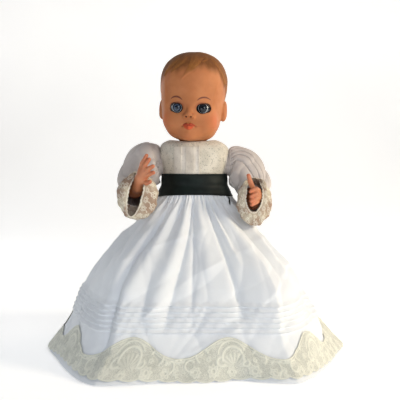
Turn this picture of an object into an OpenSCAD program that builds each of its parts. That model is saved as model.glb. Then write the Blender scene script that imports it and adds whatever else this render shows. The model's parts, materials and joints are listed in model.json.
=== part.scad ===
// Baby doll in a long gown. It faces -Y, stands on z = 0, and its left side is +X.

/* [Doll] */
// Angle that the head is turned to the doll's right
head_turn = 8; // [0:1:15]
// Angle that the head leans to the doll's left
head_tilt = 2.5; // [0:0.5:3]
// Radius of each eyeball
eyeball_r = 12; // [11.5:0.1:12]
// Distance between the middles of the eyes
eye_spacing = 43; // [42:0.5:44]

/* [Gown] */
// Radius of the gown's hem at the floor
hem_r = 240; // [232:1:246]
// Thickness of the skirt's cloth with its starch and gathers
skirt_wall = 2.5; // [2:0.1:3]
// Thickness of the lace
lace_wall = 1.2; // [1:0.1:1.6]

/* [Hidden] */
$fn = 64;
LEFT = 1;
RIGHT = -1;
BIG = 400;          // longer than any part that it cuts
GAP = 0.3;          // running clearance between moving parts
EPS = 0.1;          // overrun of a cut past a face

// Torso
neck_x = -3;        // the neck stands a little to the doll's right
torso_top = 334;
shoulder_z = 310;
shoulder_face = 52.5;
arm_pin_r = 12;
arm_flange_r = 15;
neck_pin_r = 14;
neck_flange_r = 17;
hip_z = 184;
hip_block = 16;     // half the width of the block between the legs
hip_cut_top = 212;
leg_pin_r = 9;
hip_swing_r = 42;    // the hip block stays within this distance of the hip's axis

// Each section is [z, half width, half depth]
TORSO = [[158, 20, 20], [166, 38, 32], [190, 48, 38], [230, 47, 38], [262, 44, 37],
         [292, 46, 38], [316, 50, 36], [328, 42, 30], [torso_top, 26, 24]];
CAVITY = [[216, 43, 34], [262, 41, 34], [292, 43, 35], [316, 47, 33], [325, 42, 29], [329, 26, 23]];
bodice_top = 337;
BODICE = [[259, 49.5, 43], [290, 50.5, 43.5], [312, 55.5, 44], [326, 50, 38], [bodice_top, 31, 30]];
SASH = [[259.3, 60, 52], [276, 56, 48.5], [293, 53.5, 46.5]];
bodice_wall = 1.5;
sash_wall = 2;
armhole_r = 22;

// Skirt: [z, radius as a share of the hem's radius], and the radius at the waist comes with it
SKIRT = [[5, 0.992], [20, 0.954], [66, 0.846], [120, 0.725], [156, 0.625], [180, 0.533],
         [205, 0.44], [230, 0.35], [240, 0.312], [250, 0.275], [258.8, 0.25]];
lace_top = 62;
petticoat_top = 230;
petticoat_gap = 1.5;
petticoat_wall = 2;

// Head, from the middle of its neck joint
neck_joint_z = 338;
neck_r = 20;
eye_y = -39.5;
eye_z = 63;
eye_open_r = 8.7;   // half the height of an eye opening
eye_open_side = 1.5;
lid_inner = eyeball_r + 0.15;
lid_outer = eyeball_r + 0.7;
socket_r = lid_outer + 0.5;
lid_edge = 30;      // the lid's edge stands this far above level
iris_r = 6.5;
iris_depth = 3;
rocker_r = 2;
weight_r = 6.5;
weight_place = [0, -30, 40];

// Arms: each station is [middle, radius] along the limb, from the shoulder to the end of the palm
ARM_RIGHT = [[[-52.5, 0, 310], 15], [[-62, -1, 308], 17], [[-78, -5, 296], 16], [[-92, -10, 278], 14.5],
             [[-100, -20, 266], 13.5], [[-97, -40, 268], 12.5], [[-91, -65, 272], 10.5],
             [[-87, -76, 283], 10.5], [[-83, -82, 296], 10], [[-81, -85, 302], 5]];
ARM_LEFT = [[[52.5, 0, 310], 15], [[63, -1, 308], 16], [[77, -5, 294], 16], [[91, -9, 275], 14.5],
            [[99, -19, 260], 13.5], [[97, -40, 252], 12.5], [[96, -64, 246], 10.5],
            [[97, -76, 253], 11], [[98, -84, 263], 10], [[98, -88, 269], 5]];
FINGERS_RIGHT = [[[-87, -80, 298], [-82, -87, 311], [-75, -91, 324]],
                 [[-83, -83, 298], [-78, -90, 308], [-71, -94, 317]],
                 [[-80, -84, 296], [-73, -91, 302], [-65, -95, 306]],
                 [[-79, -81, 290], [-71, -89, 294], [-64, -94, 296]],
                 [[-83, -77, 281], [-76, -84, 279], [-70, -91, 281]]];
FINGERS_LEFT = [[[103, -84, 267], [98, -93, 270], [89, -97, 266]],
                [[104, -84, 262], [99, -94, 263], [90, -98, 258]],
                [[104, -83, 256], [99, -93, 256], [90, -97, 251]],
                [[102, -80, 250], [98, -90, 249], [91, -95, 245]],
                [[94, -80, 270], [89, -86, 281], [86, -89, 292]]];
FINGER_RADII = [4.5, 4.2, 3];

// Sleeves, from the armhole to the gathered end, and the lace's open mouth
sleeve_face = 60;   // flat inner face, around the shoulder's axis
SLEEVE_RIGHT = [[[-sleeve_face, 0, 310], 24], [[-70, 0, 309], 33], [[-82, -2, 300], 34],
                [[-97, -9, 280], 31], [[-101, -22, 265], 28], [[-96, -47, 262], 24]];
SLEEVE_LEFT = [[[sleeve_face, 0, 310], 24], [[72, 0, 309], 30], [[86, -2, 297], 32],
               [[96, -9, 274], 30], [[100, -22, 258], 27], [[98.5, -47, 252], 24]];
MOUTH_RIGHT = [-91, -80, 260];
MOUTH_LEFT = [94, -80, 246];
mouth_r = 37;
sleeve_wall = 2;
mouth_tilt = 28;    // the lace's mouth faces up by this much
lace_gap = 2.6;      // the lace starts this far past the sleeve's end
mouth_reach = 15;   // the lace runs this far past the mouth's middle before the mouth is cut

// Legs, for the left side
hip_x = 33;
LEG = [[[33, 0, 196], 18], [[33, 0, 180], 23], [[33, -3, 140], 22], [[33, -4, 104], 19.5],
       [[33, 0, 66], 17], [[33, 2, 34], 14], [[33, 2, 22], 13]];
FOOT = [[[33, 17, 16], 8], [[33, 10, 18], 14], [[33, -8, 17], 14], [[34, -26, 15], 13], [[34, -38, 12], 8]];
sole_z = 3;
bootee_wall = 2.3;

// ---- Shapes that repeat ----

// A cone between two points, with its radius at each
module bar(a, b, ra, rb) {
    v = b - a;
    translate(a)
        rotate([0, acos(v.z / norm(v)), atan2(v.y, v.x)])
            cylinder(h = norm(v), r1 = ra, r2 = rb);
}

function unit(v) = v / norm(v);

// Direction of a path of stations at its i-th one; the first and last keep their end's direction
function heading(path, i, start) =
    i == 0 ? start : unit(path[min(i + 1, len(path) - 1)][0] - path[i - 1][0]);

// A ring of n points around a station, across the path's direction
function station_ring(place, r, along, guide, n) =
    let (u = unit(cross(along, guide)), v = cross(along, u))
    [for (j = [0 : n - 1]) place + r * (cos(360 * j / n) * u + sin(360 * j / n) * v)];

function rings_along(path, grow, start, guide, n) =
    [for (i = [0 : len(path) - 1]) each
        station_ring(path[i][0], path[i][1] + grow, heading(path, i, start), guide, n)];

// A closed body along stations; start is the direction that its first face looks back along
module sweep(path, start, guide, grow = 0, n = 20) {
    rings = len(path);
    polyhedron(
        points = rings_along(path, grow, start, guide, n),
        faces = concat(skin(0, rings, n, true),
                       [[for (j = [0 : n - 1]) j]],
                       [[for (j = [n - 1 : -1 : 0]) (rings - 1) * n + j]]));
}

// The same body as an open tube with a wall
module sweep_tube(path, wall, start, guide, n = 28) {
    rings = len(path);
    tube(concat(rings_along(path, 0, start, guide, n), rings_along(path, -wall, start, guide, n)), rings, n);
}

// A tube whose points are its outer rings and then its inner rings
module tube(points, rings, n) {
    inner = rings * n;
    top = (rings - 1) * n;
    polyhedron(
        points = points,
        faces = concat(skin(0, rings, n, true),
                       skin(inner, rings, n, false),
                       [for (j = [0 : n - 1]) let (k = (j + 1) % n) [top + j, inner + top + j, inner + top + k, top + k]],
                       [for (j = [0 : n - 1]) let (k = (j + 1) % n) [j, k, inner + k, inner + j]]));
}

function ellipse_ring(section, shrink, n) =
    [for (j = [0 : n - 1])
        [(section[1] - shrink) * cos(360 * j / n), (section[2] - shrink) * sin(360 * j / n), section[0]]];

// A skin of triangles between rings, wound for an outer or an inner face
function skin(first, rings, n, outward) =
    [for (i = [0 : rings - 2], j = [0 : n - 1])
        let (a = first + i * n + j, b = first + i * n + (j + 1) % n)
        each outward ? [[a, a + n, b + n], [a, b + n, b]] : [[a, b, b + n], [a, b + n, a + n]]];

// A closed body through level ellipses
module loft(sections, n = 40) {
    rings = len(sections);
    polyhedron(
        points = [for (s = sections) each ellipse_ring(s, 0, n)],
        faces = concat(skin(0, rings, n, true),
                       [[for (j = [0 : n - 1]) j]],
                       [[for (j = [n - 1 : -1 : 0]) (rings - 1) * n + j]]));
}

// The same body as an open tube with a wall
module loft_tube(sections, wall, n = 40) {
    tube(concat([for (s = sections) each ellipse_ring(s, 0, n)],
                [for (s = sections) each ellipse_ring(s, wall, n)]),
         len(sections), n);
}

// Cylinder along X, from x0 to x1
module cross_bar(x0, x1, r, y, z) {
    translate([min(x0, x1), y, z]) rotate([0, 90, 0]) cylinder(h = abs(x1 - x0), r = r);
}

// ---- Torso and gown ----

module torso_shell() {
    difference() {
        loft(TORSO);
        loft(CAVITY);
        for (side = [LEFT, RIGHT])
            translate([side * (hip_block + BIG / 2), 0, hip_cut_top - BIG / 2]) cube(BIG, center = true);
        cross_bar(-hip_block - EPS, hip_block + EPS, leg_pin_r + GAP, 0, hip_z);
        cross_bar(-BIG / 2, BIG / 2, arm_pin_r + GAP, 0, shoulder_z);
        translate([neck_x, 0, shoulder_z]) cylinder(h = BIG / 4, r = neck_pin_r + GAP);
    }
}

module torso_front() {
    color("peru") intersection() {
        torso_shell();
        translate([0, -BIG / 2, BIG / 2]) cube(BIG, center = true);
    }
}

module torso_back() {
    color("burlywood") intersection() {
        torso_shell();
        translate([0, BIG / 2, BIG / 2]) cube(BIG, center = true);
    }
}

module bodice() {
    color("ivory") difference() {
        loft_tube(BODICE, bodice_wall);
        cross_bar(-BIG / 2, BIG / 2, armhole_r, 0, shoulder_z);
    }
}

// Pintucked cloth over the front of the bodice
panel_gap = 0.2;
panel_wall = 1;
panel_half = 21;
panel_x = -12;
panel_low = 293;
panel_top = 335;
module bodice_panel() {
    grown = [for (s = BODICE) [s[0], s[1] + panel_gap + panel_wall, s[2] + panel_gap + panel_wall]];
    color("white") intersection() {
        loft_tube(grown, panel_wall);
        translate([panel_x - panel_half, -BIG, panel_low]) cube([2 * panel_half, BIG, panel_top - panel_low]);
    }
}

// Outline of the gathered neckband: [distance from its middle, height above the bodice]
RUFFLE = [[22.5, 0.3], [29, 0.3], [31, 7], [28, 10.5], [22.5, 10.5]];
module neck_ruffle() {
    color("ivory") translate([neck_x, 0, bodice_top]) rotate_extrude() polygon(RUFFLE);
}

piping_r = 1.2;
piping_x = 56.4;
module armhole_piping(side) {
    color("white") translate([side * piping_x, 0, shoulder_z]) rotate([0, 90, 0])
        rotate_extrude() translate([armhole_r + piping_r, 0]) circle(piping_r);
}

button_r = 3.5;
button_h = 2.5;
button_y = 44.2;
BUTTON_HEIGHTS = [298, 306, 314];
module back_buttons() {
    color("snow") for (z = BUTTON_HEIGHTS)
        translate([0, button_y, z]) rotate([-90, 0, 0]) cylinder(h = button_h, r = button_r);
}

module sash() {
    color("darkslategray") loft_tube(SASH, sash_wall);
}

bow_y = 49.4;         // the bow's face against the sash
bow_z = 278;
bow_half = 42;
bow_h = 28;
knot = 13;
knot_lift = 2;        // the knot stands this far out from the loops
module sash_bow() {
    color("darkslategray") translate([0, bow_y, bow_z]) rotate([-90, 0, 0]) {
        for (side = [LEFT, RIGHT])
            linear_extrude(knot)
                polygon([[0, -knot / 3], [side * bow_half, -bow_h / 2], [side * bow_half, bow_h / 2], [0, knot / 3]]);
        translate([-knot / 2, -knot / 2, 0]) cube([knot, knot, knot + knot_lift]);
    }
}

tail_w = 26;
tail_lift = 1.5;
tail_wall = 1.5;
tail_low = 140;
tail_top = 258;
module sash_tail(side) {
    low = skirt_line(tail_lift, tail_low, tail_top);
    high = skirt_line(tail_lift + tail_wall, tail_low, tail_top);
    color("darkslategray")
        translate([side * (tail_w / 2 + 1) - tail_w / 2, 0, 0])
            rotate([90, 0, 90]) linear_extrude(tail_w)
                polygon(concat(low, reversed(high)));
}

function reversed(list) = [for (i = [len(list) - 1 : -1 : 0]) list[i]];

// Radius of the skirt's outer face at a height
function skirt_r(z) = hem_r * lookup(z, SKIRT);

// The skirt's outline moved outwards by lift, between two heights
function skirt_line(lift, from, to) =
    concat([[skirt_r(from) + lift, from]],
           [for (s = SKIRT) if (s[0] > from && s[0] < to) [skirt_r(s[0]) + lift, s[0]]],
           [[skirt_r(to) + lift, to]]);

module skirt_band(lift, wall, from, to) {
    rotate_extrude($fn = 128)
        polygon(concat(skirt_line(lift, from, to), reversed(skirt_line(lift - wall, from, to))));
}

skirt_low = 6;
skirt_top = 258.8;
module skirt() {
    color("white") skirt_band(0, skirt_wall, skirt_low, skirt_top);
}

lace_low = 5;
module hem_lace() {
    color("beige") skirt_band(GAP + lace_wall, lace_wall, lace_low, lace_top);
}

module petticoat() {
    color("whitesmoke") skirt_band(-skirt_wall - petticoat_gap, petticoat_wall, 0, petticoat_top);
}

// ---- Head and eyes ----

module in_head() {
    translate([neck_x, 0, neck_joint_z]) rotate([0, head_tilt, -head_turn]) children();
}

// Head: each ball is [middle, radius]
SKULL = [[0, 4, 105], 57];
BACK_OF_HEAD = [[0, 14, 100], 52];
FACE = [[0, -7, 62], 49.5];
CHIN = [[0, -38, 26], 15.5];
NOSE = [[0, -55, 52], 6];
CHEEK = [[24, -26, 42], 24];

module ball(b, wall = 0) {
    translate(b[0]) sphere(b[1] - wall);
}

// Skull, back of the head and face, smaller inside by the wall
module head_form(wall) {
    ball(SKULL, wall);
    ball(BACK_OF_HEAD, wall);
    ball(FACE, wall);
}

head_wall = 3.5;
ear_r = 15;
ear_y = 6;
ear_z = 66;
ear_in = 40;
ear_out = 58;
module head_shell() {
    color("sandybrown") {
        in_head() difference() {
            union() {
                head_form(0);
                ball(CHIN);
                ball(NOSE);
                for (side = [LEFT, RIGHT]) {
                    mirrored(side) ball(CHEEK);
                    cross_bar(side * ear_in, side * ear_out, ear_r, ear_y, ear_z);
                }
            }
            head_form(head_wall);
            for (side = [LEFT, RIGHT])
                translate([side * eye_spacing / 2, eye_y, eye_z]) {
                    sphere(socket_r);
                    for (shift = [-eye_open_side, eye_open_side])
                        translate([shift, 0, 0]) rotate([90, 0, 0]) cylinder(h = BIG, r = eye_open_r);
                }
        }
        neck();
    }
}

// The neck stands upright under the tilted head, with a flange inside the torso
neck_base = torso_top + 0.6;
neck_h = 17.5;
neck_pin_z = 322;
neck_flange_z = 321;
neck_flange_h = 4;
neck_wall = 3;
module neck() {
    translate([neck_x, 0, 0]) difference() {
        union() {
            translate([0, 0, neck_base]) cylinder(h = neck_h, r = neck_r);
            translate([0, 0, neck_pin_z]) cylinder(h = neck_h, r = neck_pin_r);
            translate([0, 0, neck_flange_z]) cylinder(h = neck_flange_h, r = neck_flange_r);
        }
        translate([0, 0, neck_flange_z - 1]) cylinder(h = 2 * neck_h, r = neck_pin_r - neck_wall);
    }
}

PLATE = [14, 1.6, 16];
PLATE_PLACE = [-7, -51, 55];
LUG = [2, 14, 8];
LUG_PLACE = [5, -50, 59];
module eye_bracket() {
    color("dimgray") in_head() difference() {
        union() {
            translate(PLATE_PLACE) cube(PLATE);
            for (side = [LEFT, RIGHT])
                mirrored(side) translate(LUG_PLACE) cube(LUG);
        }
        cross_bar(-PLATE.x, PLATE.x, rocker_r + GAP, eye_y, eye_z);
    }
}

module at_eye(side) {
    in_head() translate([side * eye_spacing / 2, eye_y, eye_z]) children();
}

iris_gap = 0.05;
// The bore for the pivot bar is on the side towards the other eye
module eyeball(side) {
    color("white") at_eye(side) mirrored(-side) difference() {
        sphere(eyeball_r);
        translate([0, -eyeball_r + iris_depth, 0]) rotate([90, 0, 0]) cylinder(h = eyeball_r, r = iris_r);
        cross_bar(eyeball_r - bar_grip, eyeball_r + bar_grip, rocker_r, 0, 0);
    }
}

module iris(side) {
    color(side == LEFT ? "midnightblue" : "steelblue") at_eye(side) intersection() {
        sphere(eyeball_r);
        translate([0, -eyeball_r + iris_depth, 0]) rotate([90, 0, 0]) cylinder(h = eyeball_r, r = iris_r - iris_gap);
    }
}

// Half a ball over the eye, with its edge at the front above level
module eyelid(side) {
    color("peachpuff") at_eye(side) difference() {
        sphere(lid_outer);
        sphere(lid_inner);
        rotate([-lid_edge, 0, 0]) translate([0, 0, -BIG / 2]) cube(BIG, center = true);
        cross_bar(-BIG / 8, BIG / 8, rocker_r + GAP, 0, 0);
    }
}

lash_half = 18;     // the lashes spread this far to each side of the lid's middle
lash_length = 2.6;
lash_w = 0.5;
lash_gap = 0.05;
module lashes(side) {
    color("black") at_eye(side) rotate([-lid_edge, 0, 0]) rotate([0, 0, -90 - lash_half])
        rotate_extrude(angle = 2 * lash_half)
            translate([lid_outer + lash_gap, 0]) square([lash_length, lash_w]);
}

bar_grip = 3;       // depth of the pivot bar in each eyeball
stem_r = 1.6;       // the weight's arm
weight_half = 8;
module eye_rocker() {
    reach = eye_spacing / 2 - eyeball_r + bar_grip;
    color("silver") in_head() {
        cross_bar(-reach, reach, rocker_r, eye_y, eye_z);
        bar([0, eye_y, eye_z], weight_place, stem_r, stem_r);
    }
}

module eye_weight() {
    color("gray") in_head() difference() {
        cross_bar(-weight_half, weight_half, weight_r, weight_place.y, weight_place.z);
        bar([0, eye_y, eye_z], weight_place, stem_r, stem_r);
    }
}

// ---- Arms and sleeves ----

// Never in line with an arm, so that its rings don't twist
function arm_guide(side) = [-side, 1, -1];

pin_start = 37;      // the round plug in the shoulder's hole starts here
pin_overrun = 4;     // and runs this far into the arm
flange_start = 35;
flange_end = 38.5;
module arm(side) {
    color("sandybrown") {
        sweep(side == LEFT ? ARM_LEFT : ARM_RIGHT, [side, 0, 0], arm_guide(side));
        for (f = side == LEFT ? FINGERS_LEFT : FINGERS_RIGHT)
            finger([for (i = [0 : 2]) [f[i], FINGER_RADII[i]]]);
        cross_bar(side * pin_start, side * (shoulder_face + pin_overrun), arm_pin_r, 0, shoulder_z);
        cross_bar(side * flange_start, side * flange_end, arm_flange_r, 0, shoulder_z);
    }
}

module finger(path) {
    sweep(path, unit(path[1][0] - path[0][0]), [1, 0.4, 0.1], n = 8);
}

module sleeve(side) {
    color("white")
        sweep_tube(side == LEFT ? SLEEVE_LEFT : SLEEVE_RIGHT, sleeve_wall, [side, 0, 0], arm_guide(side));
}

module cuff_lace(side) {
    last = side == LEFT ? SLEEVE_LEFT[5] : SLEEVE_RIGHT[5];
    mouth = side == LEFT ? MOUTH_LEFT : MOUTH_RIGHT;
    along = unit(mouth - last[0]);
    start = last[0] + lace_gap * along;
    end = mouth + mouth_reach * along;
    color("beige") difference() {
        bar(start, end, last[1], mouth_r);
        bar(start - along, end + along, last[1] - lace_wall, mouth_r - lace_wall);
        translate(mouth) rotate([-mouth_tilt, 0, 0]) translate([0, -BIG / 2, 0]) cube(BIG, center = true);
    }
}

// ---- Legs and bootees ----

module mirrored(side) {
    if (side == LEFT) children();
    else mirror([1, 0, 0]) children();
}

module shin(grow) {
    sweep(LEG, [0, 0, -1], [0, 1, 0], grow);
}

module foot(grow) {
    sweep(FOOT, [0, -1, 0], [1, 0, 0], grow);
}

hip_disc_r = 24;
hip_disc_reach = 14;
hip_face = hip_block + 0.5;
hip_pin_end = 6;
module leg(side) {
    color("sandybrown") mirrored(side) {
        difference() {
            union() {
                shin(0);
                foot(0);
            }
            translate([0, 0, sole_z - BIG / 2]) cube(BIG, center = true);
            translate([hip_face - BIG, -BIG / 2, hip_z - hip_swing_r]) cube(BIG);
        }
        cross_bar(hip_face, hip_x + hip_disc_reach, hip_disc_r, 0, hip_z);
        cross_bar(hip_pin_end, hip_x, leg_pin_r, 0, hip_z);
    }
}

bootee_top = 40;
module bootee(side) {
    color("ivory") mirrored(side) difference() {
        union() {
            shin(bootee_wall);
            foot(bootee_wall);
        }
        shin(GAP);
        foot(GAP);
        translate([0, 0, bootee_top + BIG / 2]) cube(BIG, center = true);
        translate([0, 0, sole_z - bootee_wall - BIG / 2]) cube(BIG, center = true);
    }
}

torso_front();
torso_back();
bodice();
bodice_panel();
neck_ruffle();
armhole_piping(LEFT);  // armhole_piping_left
armhole_piping(RIGHT);  // armhole_piping_right
back_buttons();
sash();
sash_bow();
sash_tail(LEFT);  // sash_tail_left
sash_tail(RIGHT);  // sash_tail_right
skirt();
hem_lace();
petticoat();
head_shell();
eye_bracket();
eyeball(LEFT);  // eyeball_left
eyeball(RIGHT);  // eyeball_right
iris(LEFT);  // iris_left
iris(RIGHT);  // iris_right
eyelid(LEFT);  // eyelid_left
eyelid(RIGHT);  // eyelid_right
lashes(LEFT);  // lashes_left
lashes(RIGHT);  // lashes_right
eye_rocker();
eye_weight();
arm(LEFT);  // arm_left
arm(RIGHT);  // arm_right
sleeve(LEFT);  // sleeve_left
sleeve(RIGHT);  // sleeve_right
cuff_lace(LEFT);  // cuff_lace_left
cuff_lace(RIGHT);  // cuff_lace_right
leg(LEFT);  // leg_left
leg(RIGHT);  // leg_right
bootee(LEFT);  // bootee_left
bootee(RIGHT);  // bootee_right
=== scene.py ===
"""Looks of the baby doll in its long gown. Lengths are in millimetres until a mesh is made, and the
doll faces -Y with its left side at +X, as in the CAD model."""
import json
import math

import bmesh
import bpy
import numpy as np
import openvdb
from mathutils import Matrix, Vector


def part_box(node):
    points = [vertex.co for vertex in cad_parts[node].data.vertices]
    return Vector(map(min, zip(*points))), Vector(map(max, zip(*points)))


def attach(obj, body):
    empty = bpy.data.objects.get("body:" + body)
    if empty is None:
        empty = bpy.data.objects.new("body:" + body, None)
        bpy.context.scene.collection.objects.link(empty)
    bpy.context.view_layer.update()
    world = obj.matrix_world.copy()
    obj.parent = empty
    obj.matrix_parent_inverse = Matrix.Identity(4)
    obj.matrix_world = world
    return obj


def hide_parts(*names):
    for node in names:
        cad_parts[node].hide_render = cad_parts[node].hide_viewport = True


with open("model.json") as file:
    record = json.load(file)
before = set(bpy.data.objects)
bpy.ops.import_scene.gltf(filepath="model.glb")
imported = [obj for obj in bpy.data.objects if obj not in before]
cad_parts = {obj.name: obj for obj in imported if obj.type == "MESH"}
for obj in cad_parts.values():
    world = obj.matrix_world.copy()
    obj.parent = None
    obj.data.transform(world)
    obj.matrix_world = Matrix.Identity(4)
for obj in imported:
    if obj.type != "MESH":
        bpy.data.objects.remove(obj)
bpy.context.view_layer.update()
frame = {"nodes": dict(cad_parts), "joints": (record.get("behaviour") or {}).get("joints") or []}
MM = 0.001
LEFT = 1
RIGHT = -1
TAU = 2 * math.pi
SIDE_NAME = {LEFT: "left", RIGHT: "right"}


def node_box(name):
    """Lowest and highest corners of a CAD node, in millimetres."""
    low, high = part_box(name)
    return np.array(low) / MM, np.array(high) / MM


def mesh_points(mesh):
    """A mesh's vertices, in millimetres."""
    points = np.empty(len(mesh.vertices) * 3)
    mesh.vertices.foreach_get("co", points)
    return points.reshape(-1, 3) / MM


# ---- Small sums ----

def smooth_step(x, low, high):
    """0 below low, 1 above high, and smooth between."""
    t = np.clip((x - low) / (high - low), 0, 1)
    return t * t * (3 - 2 * t)


def bell(x, width):
    """A rounded peak of height 1 at 0 that fades out over about width."""
    return np.exp(-((x / width) ** 2))


def lerp(a, b, t):
    return a + (b - a) * t


def ripples(angle, counts, seed):
    """A sum of waves around the doll, each with its own phase, between about -1 and 1."""
    random = np.random.default_rng(seed)
    total = sum(np.sin(n * angle + random.uniform(0, TAU)) * random.uniform(0.6, 1) for n in counts)
    return total / len(counts)


def places(x, y, z):
    """Points from three arrays of coordinates."""
    return np.stack(np.broadcast_arrays(x, y, z), -1)


def circle(count):
    """Angles once around, evenly spaced."""
    return np.arange(count) / count * TAU


def row_shares(count):
    """Steps from 0 to 1, one for each row of a grid."""
    return np.linspace(0, 1, count)[:, None]


def across_shares(count):
    """Steps from -1 to 1, one for each column of a grid."""
    return np.linspace(-1, 1, count)[None, :]


# ---- Meshes ----

def mesh_piece(name, points, faces, material):
    mesh = bpy.data.meshes.new(name)
    mesh.from_pydata((np.asarray(points) * MM).tolist(), [], [tuple(f) for f in faces])
    mesh.validate()
    mesh.shade_smooth()
    piece = bpy.data.objects.new(name, mesh)
    bpy.context.scene.collection.objects.link(piece)
    mesh.materials.append(material)
    return piece


def grid_faces(rows, columns, closed, first=0):
    """Quads over a grid of points; closed joins the last column to the first."""
    i, j = np.meshgrid(np.arange(rows - 1), np.arange(columns if closed else columns - 1), indexing="ij")
    k = (j + 1) % columns
    quads = np.stack([i * columns + j, i * columns + k, (i + 1) * columns + k, (i + 1) * columns + j], -1)
    return (quads.reshape(-1, 4) + first).tolist()


def grid_piece(name, points, material, closed=True):
    """A sheet from an array of rows x columns x 3."""
    rows, columns = points.shape[:2]
    return mesh_piece(name, points.reshape(-1, 3), grid_faces(rows, columns, closed), material)


def paint(piece, name, values):
    """Stores one number per vertex for a material to read."""
    attribute = piece.data.attributes.new(name, "FLOAT", "POINT")
    attribute.data.foreach_set("value", np.asarray(values, np.float32).ravel())


def face_out(piece):
    """Turns all the faces to look outwards."""
    bm = bmesh.new()
    bm.from_mesh(piece.data)
    bmesh.ops.recalc_face_normals(bm, faces=bm.faces)
    bm.to_mesh(piece.data)
    bm.free()


def thicken(piece, thickness):
    modifier = piece.modifiers.new("cloth thickness", "SOLIDIFY")
    modifier.thickness = thickness * MM
    modifier.offset = 0


def finish_piece(piece, body, slot, *replaced):
    """Sets a piece to ride on a body and hides the CAD nodes it stands for; slot, its finish, is not used."""
    if replaced:
        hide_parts(*replaced)
    if body:
        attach(piece, body)


# ---- Solid fields: negative inside, in millimetres ----

def length(v):
    return np.sqrt((v * v).sum(-1))


def ball(p, middle, radius):
    return length(p - np.array(middle, float)) - radius


def egg(p, middle, radii, power=2.0):
    """An ellipsoid, boxier with a power above 2; close to a true distance near its surface."""
    q = np.abs(p - np.array(middle, float))
    radii = np.array(radii, float)
    share = q / radii
    near = (share ** power).sum(-1) ** (1 / power)
    slope = length(share ** (power - 1) / radii) * np.maximum(near, 1e-6) ** (1 - power)
    return (near - 1) / np.maximum(slope, 1e-6)


def rod(p, a, b, radius_a, radius_b):
    """A rod with round ends between two points."""
    a, b = np.array(a, float), np.array(b, float)
    t = np.clip(((p - a) @ (b - a)) / ((b - a) @ (b - a)), 0, 1)
    return length(p - a - t[..., None] * (b - a)) - lerp(radius_a, radius_b, t)


def close_to(p, middle, width):
    """1 at a place, and fading out over about width."""
    return bell(length(p - np.array(middle)), width)


def drum(reach, x, radius, inner, outer):
    """A short cylinder along X, where reach is the distance from its middle line."""
    return np.maximum(reach - radius, np.maximum(inner - x, x - outer))


def blend_union(d, e, soft):
    h = np.clip(0.5 + 0.5 * (e - d) / soft, 0, 1)
    return lerp(e, d, h) - soft * h * (1 - h)


def blend_cut(d, e, soft):
    """d with e taken away."""
    return -blend_union(-d, e, soft)


def field_piece(name, field, low, high, step, material):
    """The surface where a field is zero, as a closed mesh."""
    axes = [np.arange(low[i], high[i] + step, step) for i in range(3)]
    cells = np.stack(np.meshgrid(*axes, indexing="ij"), -1)
    values = field(cells).astype(np.float32)
    grid = openvdb.FloatGrid(3 * step)
    grid.copyFromArray(np.ascontiguousarray(values))
    points, quads = grid.convertToQuads(isovalue=0.0)
    points = points * step + np.array(low, float)
    piece = mesh_piece(name, settle(points, field), quads.tolist(), material)
    face_out(piece)
    return piece


def settle(points, field, rounds=2):
    """Moves points onto the field's surface."""
    nudge = 0.2
    steps = nudge * np.eye(3)
    for _ in range(rounds):
        slope = np.stack([field(points + step) - field(points - step) for step in steps], -1)
        slope /= 2 * nudge
        points = points - (field(points) / np.maximum((slope ** 2).sum(-1), 0.3))[..., None] * slope
    return points


# ---- Materials ----

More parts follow.
